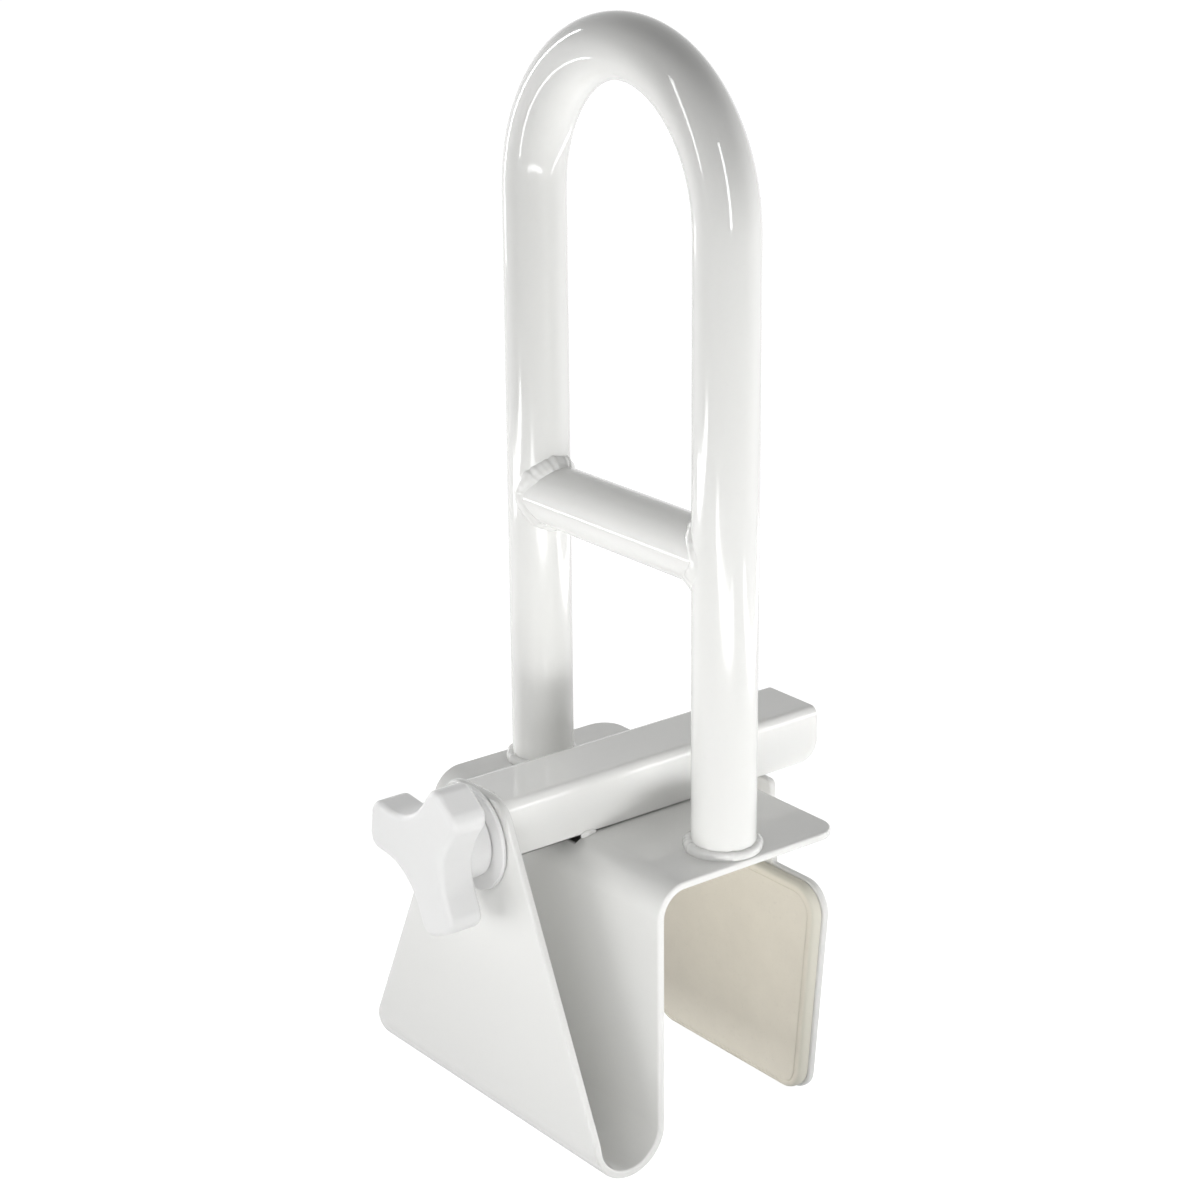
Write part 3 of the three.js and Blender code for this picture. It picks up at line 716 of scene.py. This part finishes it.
class RAIL_OT_crossbar(bpy.types.Operator):
    """Build the crossbar between the legs"""
    bl_idname = "rail.crossbar"
    bl_label = "Crossbar"

    def execute(self, context):
        """A circle carried from one leg's surface to the other's, then back along the bore."""
        s = sizes()
        turns = context.scene.studio.turns
        turn = TAU * (np.arange(turns) + 0.5) / turns
        share = np.linspace(-1, 1, 25)[:, None]
        skins = []
        for radius in (s.tube_radius, s.tube_radius - s.tube_wall):
            across, rise = radius * np.cos(turn), radius * np.sin(turn)
            reach = bar_end(s, s.tube_radius * np.cos(turn)) - 0.1 * MM
            skins.append(np.stack([share * reach, across + 0 * share,
                                   s.crossbar_z + rise + 0 * share], 2))
        piece = add_tube("crossbar", skins)
        dress(piece, "frame", "white_powder_coat", "tube_paint", "crossbar_tube")
        return {"FINISHED"}


# How far the toes of a bead dip into the tube or plate that they lie on, and the steps round it
WELD_SINK = 0.12 * MM
BEAD_STEPS = 240
UP = np.array([0, 0, 1.0])

# Shares of the weld size at a leg's foot: the height, the reach, and what the inner side adds to it
FOOT_BEAD_SHARES = (1.08, 0.78, 0.24)

# Shares of the weld size over, beside and under the bar, with the seed and roughness of the bead
BAR_BEAD_SHARES = {
    "left": {"leg": (1.5, 1.0, 0.7), "bar": (1.2, 1.1, 0.8), "bulge": (0.55, 0.6, 0.1),
             "seed": 22, "rough": 0.20},
    "right": {"leg": (0.8, 0.9, 1.5), "bar": (0.9, 1.0, 2.9), "bulge": (0.3, 0.65, -0.8),
              "seed": 24, "rough": 0.13},
}


class RAIL_OT_welds(bpy.types.Operator):
    """Build the weld beads on the tubes, plate and channel"""
    bl_idname = "rail.welds"
    bl_label = "Weld beads"

    def execute(self, context):
        s = sizes()
        for label, side in (("left", -1), ("right", 1)):
            self.foot_bead(s, label, side)
            self.bar_bead(s, label, side)
            self.tack(s, label, side)
        self.roof_bead(s)
        return {"FINISHED"}

    def foot_bead(self, s, label, side):
        """A ring between a leg's foot and the plate. Its height and reach are shares of the weld
        size, times waves and drops, and the reach grows towards the plate's inner side."""
        turn = full_turn(BEAD_STEPS)
        out = np.stack([np.cos(turn), np.sin(turn), 0 * turn], 1)
        drops = spatter(turn, (-146, -104, -24), width=0.09, strength=0.09)
        inner = (1 - side * np.cos(turn)) / 2
        tall, outer, added = FOOT_BEAD_SHARES
        height = (s.weld * tall * lumps(turn, 12 + side, 0.06) * drops)[:, None]
        reach = (s.weld * (outer + added * inner) * lumps(turn, 52 + side, 0.06) * drops)[:, None]
        leg = np.array([side * s.leg_x, 0, s.sheet - WELD_SINK]) + out * s.tube_radius
        piece = bead_skin(
            f"foot_bead_{label}", leg + UP * height - out * WELD_SINK,
            leg + out * reach * 1.16 + UP * height * 1.12, leg + out * reach,
            leg - out * s.tube_wall / 2)
        dress(piece, "frame", "white_weld_coat", "weld_paint", f"weld_leg_{label}")

    def bar_bead(self, s, label, side):
        """A bead along the line where the bar meets the leg. Its toes lie on the two tubes, each
        moved off that line and brought back to its own tube's radius. Its reach along the leg and
        the bar, and its bulge, are mixed from shares for over, beside and under the bar by the
        squares of the turn's sine and cosine."""
        shape = BAR_BEAD_SHARES[label]
        turn = full_turn(BEAD_STEPS)
        rise = s.tube_radius * np.sin(turn)
        parts = [np.maximum(np.sin(turn), 0) ** 2, np.cos(turn) ** 2,
                 np.maximum(-np.sin(turn), 0) ** 2]
        uneven = lumps(turn, shape["seed"], shape["rough"])
        leg_reach, bar_reach, bulge = (
            (s.weld * uneven * sum(part * share for part, share in zip(parts, shape[key])))[:, None]
            for key in ("leg", "bar", "bulge"))
        axis, side_way = np.array([side * s.leg_x, 0, 0]), np.array([side, 0, 0])
        seam = np.stack([side * (s.leg_x - np.hypot(rise, s.weld)), s.tube_radius * np.cos(turn),
                         s.crossbar_z + rise], 1)
        leg_out = unit((seam - axis) * np.array([1, 1, 0]))
        away = np.cross(leg_out, unit(np.roll(seam, -1, 0) - np.roll(seam, 1, 0)))
        away *= np.sign(away @ side_way + away[:, 2] * np.sin(turn))[:, None]
        leg_toe = seam + away * leg_reach - axis
        sunk = s.tube_radius - WELD_SINK
        leg_toe[:, :2] = unit(leg_toe[:, :2]) * sunk
        leg_toe += axis
        bar_out = np.stack([0 * turn, np.cos(turn), np.sin(turn)], 1)
        bar_toe = bar_out * sunk + UP * s.crossbar_z
        bar_toe[:, :1] = seam[:, :1] - side * bar_reach
        out = unit(leg_out + bar_out)
        piece = bead_skin(f"bar_bead_{label}", leg_toe, (leg_toe + bar_toe) / 2 + out * bulge,
                          bar_toe, seam - out * s.tube_wall / 2)
        dress(piece, "frame", "white_weld_coat", "weld_paint", f"weld_crossbar_{label}")

    def tack(self, s, label, side):
        """A low dab where the channel leaves the plate's bend: an uneven, flattened sphere."""
        pole = 0.06
        turn, tilt = full_turn(40), np.linspace(pole, math.pi - pole, 19)[:, None]
        swell = lumps(turn, 31 + side, 0.10)[None] * np.sin(tilt)
        reach, run, height = s.weld * 0.36, s.weld * 1.3, s.weld * 0.6
        points = np.stack([side * s.channel_half + reach * swell * np.cos(turn),
                           s.bend_radius - s.wall_face - s.weld / 2 + run * swell * np.sin(turn),
                           s.sheet + height * np.cos(tilt) + 0 * swell], 2)
        piece = add_piece(f"tack_{label}", points, rod_faces(*points.shape[:2]))
        dress(piece, "frame", "white_weld_coat", "weld_paint", f"weld_channel_{label}")

    def roof_bead(self, s):
        """A bead across the channel's roof at the front plate, thinning towards its ends by the
        square root of one less nearly the fourth power of the way across."""
        across = np.linspace(-1, 1, 60)
        reach = (2.4 * MM * np.sqrt(1 - 0.96 * across ** 4) * lumps(across * 3, 41, 0.16))[:, None]
        corner = np.stack([across * s.channel_half * 0.66,
                           np.full(60, s.sheet - s.wall_face - s.trough_depth),
                           np.full(60, s.channel_top)], 1)
        ahead, small = np.array([0, 1.0, 0]), 0.02 * MM
        upper = corner + UP * np.minimum(reach, 1.7 * MM) + ahead * small
        piece = bead_skin("roof_bead", upper, corner + (ahead + UP * 0.5) * reach * 0.7,
                          corner + ahead * reach * 1.3 + UP * small,
                          corner - (ahead + UP) * 0.4 * MM, wrap=False)
        dress(piece, "frame", "white_weld_coat", "weld_paint", "weld_channel_front")


class RAIL_OT_saddle(bpy.types.Operator):
    """Build the bent saddle sheet"""
    bl_idname = "rail.saddle"
    bl_label = "Saddle sheet"

    def execute(self, context):
        """The sheet's middle line runs over the rim, down the wall, round the trough and up the
        front. Its half width shrinks round the far corners and along the front plate."""
        s = sizes()
        half = s.sheet / 2
        trough = s.trough_depth / 2
        plate_run = s.plate_reach + s.wall_face - s.bend_radius
        wall_run = s.saddle_drop - trough - s.bend_radius
        front_run = s.front_top + s.saddle_drop - trough
        path = bent_path(
            (s.plate_reach, half), math.pi,
            [(plate_run, 24), (s.bend_radius + half, math.pi / 2, 16), (wall_run, 20),
             (trough - half, -math.pi, 32), (front_run, 30)])
        walked = path[0]
        start = walked[-1] - front_run

        angle = np.linspace(0, math.pi / 2, 13)
        corner = s.plate_corner * (1 - np.cos(angle))
        corner_half = s.saddle_half - s.plate_corner + s.plate_corner * np.sin(angle)
        foot = np.array([start, s.saddle_half])
        shoulder = np.array([walked[-1], s.front_top_half])
        slope = unit(shoulder - foot)
        share = np.linspace(0, 1, 12)[:, None]
        turn_in = shoulder - slope * s.front_corner
        turn_out = shoulder - np.array([0, s.front_corner])
        top = parabola(turn_in, shoulder, turn_out, share)
        ease = 3 * MM
        low_in, low_out = foot - np.array([ease, 0]), foot + slope * ease
        low = parabola(low_in, foot, low_out, share)
        inner = walked[(walked > s.plate_corner + 1 * MM) & (walked < low_in[0] - 1 * MM)]
        climb = low_out + (turn_in - low_out) * np.linspace(0, 1, 26)[1:-1, None]
        right = np.concatenate([
            np.stack([corner, corner_half], 1),
            np.stack([inner, np.full(len(inner), s.saddle_half)], 1), low, climb, top])
        piece = sheet_skin("saddle", right * np.array([1, -1]), right, 25, path, (2, 0, 1),
                           s.sheet, s.sheet_edge)
        dress(piece, "frame", "white_saddle_coat", "saddle_paint", "saddle_sheet")
        return {"FINISHED"}


class RAIL_OT_channel(bpy.types.Operator):
    """Build the folded guide channel"""
    bl_idname = "rail.channel"
    bl_label = "Guide channel"

    def execute(self, context):
        """The channel's section runs up one wall, across the roof and down the other wall, and
        is carried from the front plate to the far end, whose low corners are quarter circles."""
        s = sizes()
        half = s.channel_wall / 2
        low = s.sheet + s.seat
        wall_run = s.channel_top - s.channel_corner - low
        roof_run = 2 * (s.channel_half - s.channel_corner)
        fold_radius = s.channel_corner - half
        path = bent_path(
            (half - s.channel_half, low), math.pi / 2,
            [(wall_run, 18), (fold_radius, -math.pi / 2, 12), (roof_run, 12),
             (fold_radius, -math.pi / 2, 12), (wall_run, 18)])
        walked = path[0]
        angle = np.linspace(0, math.pi / 2, 12)
        dip = s.channel_end * (1 - np.cos(angle))
        end = s.channel_far - s.channel_end * (1 - np.sin(angle))
        inner = walked[(walked > s.channel_end + 0.4 * MM)
                       & (walked < walked[-1] - s.channel_end - 0.4 * MM)]
        station = np.concatenate([dip, inner, walked[-1] - dip[::-1]])
        far = np.concatenate([end, np.full(len(inner), s.channel_far), end[::-1]])
        near = np.full(len(station), s.sheet - s.wall_face - s.trough_depth + s.seat)
        piece = sheet_skin("channel", np.stack([station, near], 1), np.stack([station, far], 1),
                           33, path, (0, 2, 1), s.channel_wall, 0.5 * MM)
        dress(piece, "frame", "white_powder_coat", "channel_paint", "guide_channel")
        return {"FINISHED"}


# How far the boss reaches into the lobes, and the screw into the knob
BOSS_SINK, SCREW_SINK = 2 * MM, 20 * MM


def screw_places(s):
    """Places along the screw of the front plate's face and of the boss's end at the washer."""
    face = -s.wall_face - s.trough_depth
    return face, face - s.washer - 2 * s.seat


# The knob's turn at rest
KNOB_TURN = math.radians(174)


class RAIL_OT_knob(bpy.types.Operator):
    """Build the lobed knob, its boss and the washer behind it"""
    bl_idname = "rail.knob"
    bl_label = "Knob"

    def execute(self, context):
        s = sizes()
        face, boss_back = screw_places(s)
        washer_back, lobe_back = face - s.seat, boss_back - s.boss_length
        lobes = slab("knob_lobes", self.outline(s), lobe_back - s.lobe_thickness, lobe_back,
                     lambda cut, h: upright(cut + np.array([0, s.screw_z]), h), s.lobe_edge, 9)
        dress(lobes, "screw", "white_moulded_plastic", "knob_plastic", "knob")
        bore = s.screw_radius + s.seat
        boss = spun("knob_boss", *ring_profile(bore, s.boss_radius, lobe_back - BOSS_SINK,
                                               boss_back, 1.2 * MM))
        dress(boss, "screw", "white_moulded_plastic", "knob_plastic")
        washer = spun("knob_washer", *ring_profile(bore, s.washer_radius, washer_back - s.washer,
                                                   washer_back, 0.8 * MM), turns=96)
        dress(washer, "screw", "white_moulded_plastic", "washer_plastic", "thrust_washer")
        return {"FINISHED"}

    def outline(self, s):
        """Three lobes, each two small arcs joined by a straight end, and three large hollow arcs
        that touch the lobes' straight sides."""
        valley_reach = (s.lobe_half + s.lobe_valley) / math.sin(math.pi / 3)
        quarter = np.linspace(0, math.pi / 2, 14)
        arc = np.linspace(-math.pi / 2, -math.pi * 5 / 6, 30)[1:-1]
        reach, across = s.lobe_reach - s.lobe_corner, s.lobe_half - s.lobe_corner
        lobe = np.concatenate([
            np.stack([reach + s.lobe_corner * np.sin(quarter),
                      -across - s.lobe_corner * np.cos(quarter)], 1),
            np.stack([reach + s.lobe_corner * np.cos(quarter),
                      across + s.lobe_corner * np.sin(quarter)], 1),
            valley_reach * np.array([[0.5, math.sqrt(3) / 2]])
            + s.lobe_valley * np.stack([np.cos(arc), np.sin(arc)], 1)])
        loops = []
        for index in range(3):
            turn = KNOB_TURN + TAU * index / 3
            spin = np.array([[math.cos(turn), math.sin(turn)], [-math.sin(turn), math.cos(turn)]])
            loops.append(lobe @ spin)
        return np.concatenate(loops)


class RAIL_OT_screw(bpy.types.Operator):
    """Build the threaded screw, its clips and the nut"""
    bl_idname = "rail.screw"
    bl_label = "Screw and nut"

    def execute(self, context):
        s = sizes()
        face, boss_back = screw_places(s)
        self.thread(s, boss_back - SCREW_SINK, s.screw_far)
        bore = s.screw_radius + s.seat
        clips = {"retaining_clip": (face + s.sheet + s.seat, "retaining_ring"),
                 "stop_clip": (s.screw_far - s.ring - s.seat, "stop_ring")}
        for name, (start, node) in clips.items():
            clip = spun(name, *ring_profile(bore, s.ring_radius, start, start + s.ring, 0.25 * MM))
            dress(clip, "screw", "bright_zinc", "screw_zinc", node)
        start = s.jaw_face + s.sheet + s.seat

        def flats(radius, turn):
            """The outer radius divided by the cosine of the turn from the nearest flat's
            middle. The bore stays round."""
            corner = 1 / np.cos((turn + math.pi / 6) % (math.pi / 3) - math.pi / 6)
            return np.where(radius > bore * 1.01, radius * corner, radius)

        nut = spun("nut", *ring_profile(bore, s.nut_half, start, start + s.nut, 0.5 * MM),
                   turns=72, stretch=flats)
        dress(nut, "jaw", "bright_zinc", "screw_zinc", "travel_nut")
        return {"FINISHED"}

    def thread(self, s, start, end):
        """A rod whose radius follows a triangle wave of the phase: the way along in pitches less
        the turn's share, which makes a right-hand thread."""
        along = np.arange(start, end, s.thread_pitch / 8)
        turn = full_turn(24)
        phase = along[:, None] / s.thread_pitch - turn / TAU
        wave = np.abs(2 * (phase - np.floor(phase)) - 1)
        ends = np.clip(np.minimum(along - start, end - along) / (1.5 * MM), 0, 1)[:, None]
        radius = s.screw_radius - s.thread_depth * (wave * ends + 1.2 * (1 - ends))
        rod = add_piece("screw", round_screw(radius, turn, along), rod_faces(*radius.shape))
        dress(rod, "screw", "bright_zinc", "screw_zinc", "clamp_screw")


# Gap between the jaw's tongue and the channel that it runs in
TONGUE_GAP = 0.8 * MM


class RAIL_OT_jaw(bpy.types.Operator):
    """Build the sliding jaw"""
    bl_idname = "rail.jaw"
    bl_label = "Jaw"

    def execute(self, context):
        """The jaw's outline: a tapered plate, its neck and the tongue that runs in the channel."""
        s = sizes()
        tongue = s.channel_half - s.channel_wall - TONGUE_GAP
        neck_top = s.sheet - s.seat
        loop = rounded_loop(mirrored([
            (s.jaw_foot_half, -s.jaw_foot, s.jaw_foot_corner),
            (s.jaw_top_half, -s.jaw_shoulder, s.jaw_top_corner),
            (s.neck_foot_half, -s.jaw_shoulder, 0),
            (s.neck_half, neck_top, s.neck_corner),
            (tongue, neck_top, 0),
            (tongue, s.channel_top - s.channel_wall - TONGUE_GAP, 0.8 * MM)]), 14)
        piece = slab("jaw", loop, s.jaw_face, s.jaw_face + s.sheet, upright, s.sheet_edge)
        dress(piece, "jaw", "white_powder_coat", "jaw_paint", "jaw_plate")
        return {"FINISHED"}


# The shallow groove round a pad's face: inset from the edge and depth, in millimetres
PAD_GROOVE = [(2.6, 0.0), (2.75, 0.35), (3.1, 0.55), (3.45, 0.35), (3.6, 0.0)]


class RAIL_OT_pads(bpy.types.Operator):
    """Build the rubber pads"""
    bl_idname = "rail.pads"
    bl_label = "Rubber pads"

    def execute(self, context):
        """Flat pads with soft edges: one on the jaw and one on the wall leg."""
        s = sizes()
        foot, top = s.jaw_foot_half - s.pad_inset, s.jaw_top_half - s.pad_inset
        far = rounded_loop(mirrored([
            (foot, s.pad_inset - s.jaw_foot, s.pad_corner),
            (top, -s.jaw_shoulder - s.pad_inset, s.jaw_top_corner)]), 16)
        back = s.jaw_face - s.seat
        lip = [(inset * MM, depth * MM) for inset, depth in PAD_GROOVE]
        piece = slab("jaw_pad", far, back - s.pad, back, upright, s.pad_edge, 7, lip)
        dress(piece, "jaw", "cream_rubber", "pad_rubber", "far_pad")
        near = rounded_loop(mirrored([
            (top, -s.near_pad_top - s.near_pad_height, s.pad_corner),
            (top, -s.near_pad_top, s.pad_corner)]), 16)
        back = s.seat - s.wall_face
        lip = [(inset, -depth) for inset, depth in lip]
        piece = slab("wall_pad", near, back, back + s.pad, upright, s.pad_edge, 7, lip)
        dress(piece, "frame", "cream_rubber", "pad_rubber", "near_pad")
        return {"FINISHED"}


# Studio

WHITE = (1, 1, 1, 1)
FLOOR_COLOUR = (0.9, 0.9, 0.9)
FLOOR_GLOW, FLOOR_GLOW_SHARE = 1.33, 0.7

# The photograph's width, its focal length and the shift of its middle, in pixels
PHOTO_WIDTH, FOCAL_PIXELS, MIDDLE_SHIFT = 1200, 2845.1, (-9.5, -41.0)

# The photograph's viewpoint: place in metres, then azimuth, elevation and roll in degrees
CAMERA_PLACE, CAMERA_ANGLES = (0.8206, -0.6525, 0.4598), (51.92, 18.71, -0.45)
SENSOR_WIDTH = 36.0

# Each lamp: name, bearing in degrees, distance, shift to the side, height, tilt in degrees, width,
# length, radiance, and whether it gives diffuse light and whether the glossy paint mirrors it
LAMPS = [
    ("front_strip", -100, 2.00, 0.0, 1.12, 0, 0.18, 1.64, 9.0, False, True),
    ("side_strip", -25, 2.00, 0.0, 0.88, 0, 0.26, 1.66, 10.0, False, True),
    ("far_strip", -168, 1.50, 0.0, 0.41, 0, 0.14, 1.04, 8.0, False, True),
    ("fold_strip", 35, 1.20, 0.0, 0.16, 0, 0.50, 0.30, 5.2, False, True),
    ("front_fill", -95, 0.42, 0.0, -0.02, 0, 0.30, 0.20, 0.8, True, False),
    ("side_fill", -15, 0.42, 0.0, -0.02, 0, 0.30, 0.20, 1.4, True, False),
    ("low_front_strip", -139, 0.84, 0.27, -0.12, 90, 0.75, 0.13, 8.0, False, True),
    ("low_corner_strip", -26, 0.657, -0.20, -0.12, 90, 0.75, 0.13, 6.0, True, True),
    ("low_side_strip", 65, 0.56, 0.0, -0.12, 90, 1.04, 0.08, 5.0, True, True),
    ("front_panel", -90, 0.75, 0.0, 0.0, 0, 0.5, 0.3, 3.15, True, False),
    ("corner_panel", -38, 0.75, 0.0, 0.0, 0, 0.5, 0.3, 0.8, True, False),
    ("side_panel", 0, 0.75, 0.0, 0.0, 0, 0.5, 0.3, 1.5, True, False),
    ("low_front_lamp", -119, 0.55, 0.0, -0.10, 60, 0.4, 0.12, 2.4, True, False),
    ("low_corner_lamp", -41, 0.55, 0.0, -0.10, 60, 0.4, 0.12, 8.8, True, False),
    ("low_side_lamp", 40, 0.55, 0.0, -0.10, 60, 0.4, 0.12, 8.4, True, False),
    ("low_left_lamp", 180, 0.55, 0.0, -0.10, 60, 0.4, 0.12, 14.4, True, False),
    ("knob_top_lamp", -90, 0.11, 0.0, 0.16, -90, 0.10, 0.06, 2.0, True, False),
    ("front_bounce", -90, 0.32, 0.0, -0.125, 90, 0.4, 0.3, 0.15, True, True),
    ("side_bounce", 0, 0.32, 0.0, -0.125, 90, 0.4, 0.3, 0.4, True, True),
]

# Lamps that light one piece alone, or all but one
LAMP_LINKS = {"fold_strip": ("INCLUDE", "channel"), "knob_top_lamp": ("EXCLUDE", "saddle")}

# How much the glow is dimmed straight behind the rail, and the strength of the world by elevation
# in degrees, behind the rail and on the camera's side, as shares of the brightest band
STRAIGHT_DIMMING = 0.35
BACK_GLOW_SHARES = [(-90, 0.76), (-60, 0.68), (-45, 0.55), (-20, 0.67), (-10, 0.92), (3, 1.0),
                    (12, 0.72), (25, 0.54), (36, 0.43), (48, 0.27), (90, 0.25)]
FRONT_GLOW_SHARES = [(-90, 0.0), (-34, 0.0), (-26, 0.10), (-14, 0.10), (-6, 0.0), (36, 0.0),
                     (44, 0.33), (90, 0.33)]


class RAIL_OT_stage(bpy.types.Operator):
    """Set up the floor, lamps, world and camera"""
    bl_idname = "rail.stage"
    bl_label = "Studio"

    def execute(self, context):
        self.lay_floor(context)
        self.light_world(context)
        for lamp in LAMPS:
            self.hang_lamp(context, *lamp)
        self.aim_camera(context)
        context.scene.view_settings.view_transform = "Standard"
        return {"FINISHED"}

    def lay_floor(self, context):
        """A plain pale floor whose own glow makes it white to the camera. It throws no light on
        the rail."""
        reach, depth = context.scene.studio.floor_reach, context.scene.studio.floor_depth
        corners = [(x * reach, y * reach, -depth) for x, y in ((-1, -1), (1, -1), (1, 1), (-1, 1))]
        mesh = bpy.data.meshes.new("floor")
        mesh.from_pydata(corners, [], [(0, 1, 2, 3)])
        floor = bpy.data.objects.new("floor", mesh)
        context.scene.collection.objects.link(floor)
        material = bpy.data.materials.new("pale_floor")
        recipe = Recipe(material)
        pale = recipe.node("ShaderNodeBsdfDiffuse", {}, {"Color": rgba(FLOOR_COLOUR)})
        glow = recipe.node("ShaderNodeEmission", {}, {"Color": WHITE, "Strength": FLOOR_GLOW})
        both = recipe.node("ShaderNodeMixShader", {}, {
            0: FLOOR_GLOW_SHARE, 1: pale.outputs[0], 2: glow.outputs[0]})
        recipe.node("ShaderNodeOutputMaterial", {}, {"Surface": both.outputs[0]})
        mesh.materials.append(material)
        floor.visible_diffuse = False
        floor.visible_glossy = False
        floor.visible_shadow = False

    def light_world(self, context):
        """A world that is brightest near the horizon behind the rail, a little less so straight
        behind, and dim overhead. The camera itself sees plain white."""
        world = bpy.data.worlds.new("studio")
        context.scene.world = world
        recipe = Recipe(world)
        way = recipe.node("ShaderNodeTexCoord", {}, {}).outputs["Generated"]
        axes = recipe.node("ShaderNodeSeparateXYZ", {}, {"Vector": way}).outputs
        height = Value(recipe, axes["Z"]) * 0.5 + 0.5
        behind = Value(recipe, axes["Y"]) - Value(recipe, axes["X"])
        share = recipe.ramp(behind * 0.35 + 0.5, [(0.35, 0.0), (0.65, 1.0)])
        back, front = (
            recipe.ramp(height, [(math.sin(math.radians(rise)) * 0.5 + 0.5, level)
                                 for rise, level in stops])
            for stops in (BACK_GLOW_SHARES, FRONT_GLOW_SHARES))
        straight = (behind * 0.7).clamped(0, 1)
        level = share * back * (1 - straight * straight * STRAIGHT_DIMMING) + (1 - share) * front
        seen = Value(recipe, recipe.node("ShaderNodeLightPath", {}, {}).outputs["Is Camera Ray"])
        strength = seen + (1 - seen) * level * context.scene.studio.glow
        glow = recipe.node("ShaderNodeBackground", {}, {
            "Color": WHITE, "Strength": strength})
        recipe.node("ShaderNodeOutputWorld", {}, {"Surface": glow.outputs[0]})

    def hang_lamp(self, context, name, bearing, distance, aside, height, tilt, width, span,
                  radiance, diffuse, glossy):
        """A soft panel that faces the rail, or the ceiling at a tilt of 90 and the floor at -90.
        Its power is its radiance times its area times pi."""
        data = bpy.data.lights.new(name, "AREA")
        data.shape = "RECTANGLE"
        data.size, data.size_y = width, span
        data.energy = radiance * width * span * math.pi * context.scene.studio.lamps
        bearing, tilt = math.radians(bearing), math.radians(tilt)
        outward = Vector((math.cos(bearing), math.sin(bearing), 0))
        across = Vector((-math.sin(bearing), math.cos(bearing), 0))
        up = Vector((0, 0, 1))
        back = outward * math.cos(tilt) - up * math.sin(tilt)
        along = up * math.cos(tilt) + outward * math.sin(tilt)
        turn = Matrix((across, along, back)).transposed().to_4x4()
        lamp = bpy.data.objects.new(name, data)
        place = outward * distance + across * aside + up * height
        lamp.matrix_world = Matrix.Translation(place) @ turn
        lamp.visible_camera = False
        lamp.visible_diffuse = diffuse
        lamp.visible_glossy = glossy
        context.scene.collection.objects.link(lamp)
        state, target = LAMP_LINKS.get(name, ("", ""))
        if target in bpy.data.objects:
            linked = bpy.data.collections.new(f"linked_to_{name}")
            linked.objects.link(bpy.data.objects[target])
            linked.collection_objects[0].light_linking.link_state = state
            lamp.light_linking.receiver_collection = linked

    def aim_camera(self, context):
        """The photograph's viewpoint, its slight roll and its framing."""
        azimuth, elevation, roll = (math.radians(angle) for angle in CAMERA_ANGLES)
        right = Vector((math.cos(azimuth), math.sin(azimuth), 0))
        back = Vector((math.sin(azimuth) * math.cos(elevation),
                       -math.cos(azimuth) * math.cos(elevation), math.sin(elevation)))
        up = back.cross(right)
        across = right * math.cos(roll) + up * math.sin(roll)
        above = up * math.cos(roll) - right * math.sin(roll)
        camera = bpy.data.objects.new("camera", bpy.data.cameras.new("camera"))
        camera.data.sensor_fit = "HORIZONTAL"
        camera.data.sensor_width = SENSOR_WIDTH
        camera.data.lens = FOCAL_PIXELS * SENSOR_WIDTH / PHOTO_WIDTH
        camera.data.shift_x, camera.data.shift_y = (shift / PHOTO_WIDTH for shift in MIDDLE_SHIFT)
        camera.data.clip_start, camera.data.clip_end = 0.01, 50.0
        turn = Matrix((across, above, back)).transposed().to_4x4()
        camera.matrix_world = Matrix.Translation(CAMERA_PLACE) @ turn
        context.scene.collection.objects.link(camera)
        context.scene.camera = camera


OPERATORS = (RAIL_OT_handle, RAIL_OT_crossbar, RAIL_OT_welds, RAIL_OT_saddle, RAIL_OT_channel,
             RAIL_OT_knob, RAIL_OT_screw, RAIL_OT_jaw, RAIL_OT_pads, RAIL_OT_stage)


class RAIL_PT_panel(bpy.types.Panel):
    """Buttons that build the pieces, and their sizes and colours"""
    bl_idname = "RAIL_PT_panel"
    bl_label = "Bathtub safety rail"
    bl_space_type = "VIEW_3D"
    bl_region_type = "UI"
    bl_category = "Safety rail"

    def draw(self, context):
        for operator in OPERATORS:
            self.layout.operator(operator.bl_idname)
        for group in (context.scene.rail_sizes, context.scene.rail_finish, context.scene.studio):
            box = self.layout.box()
            for name in group.__annotations__:
                box.prop(group, name)


CLASSES = (RailSizes, RailFinish, StudioSetup) + OPERATORS + (RAIL_PT_panel,)


def register():
    for kind in CLASSES:
        bpy.utils.register_class(kind)
    bpy.types.Scene.rail_sizes = PointerProperty(type=RailSizes)
    bpy.types.Scene.rail_finish = PointerProperty(type=RailFinish)
    bpy.types.Scene.studio = PointerProperty(type=StudioSetup)


def unregister():
    del bpy.types.Scene.studio
    del bpy.types.Scene.rail_finish
    del bpy.types.Scene.rail_sizes
    for kind in reversed(CLASSES):
        bpy.utils.unregister_class(kind)


def main():
    """Builds every piece."""
    register()
    for operator in OPERATORS:
        group, name = operator.bl_idname.split(".")
        getattr(getattr(bpy.ops, group), name)()


if __name__ == "__main__":
    main()
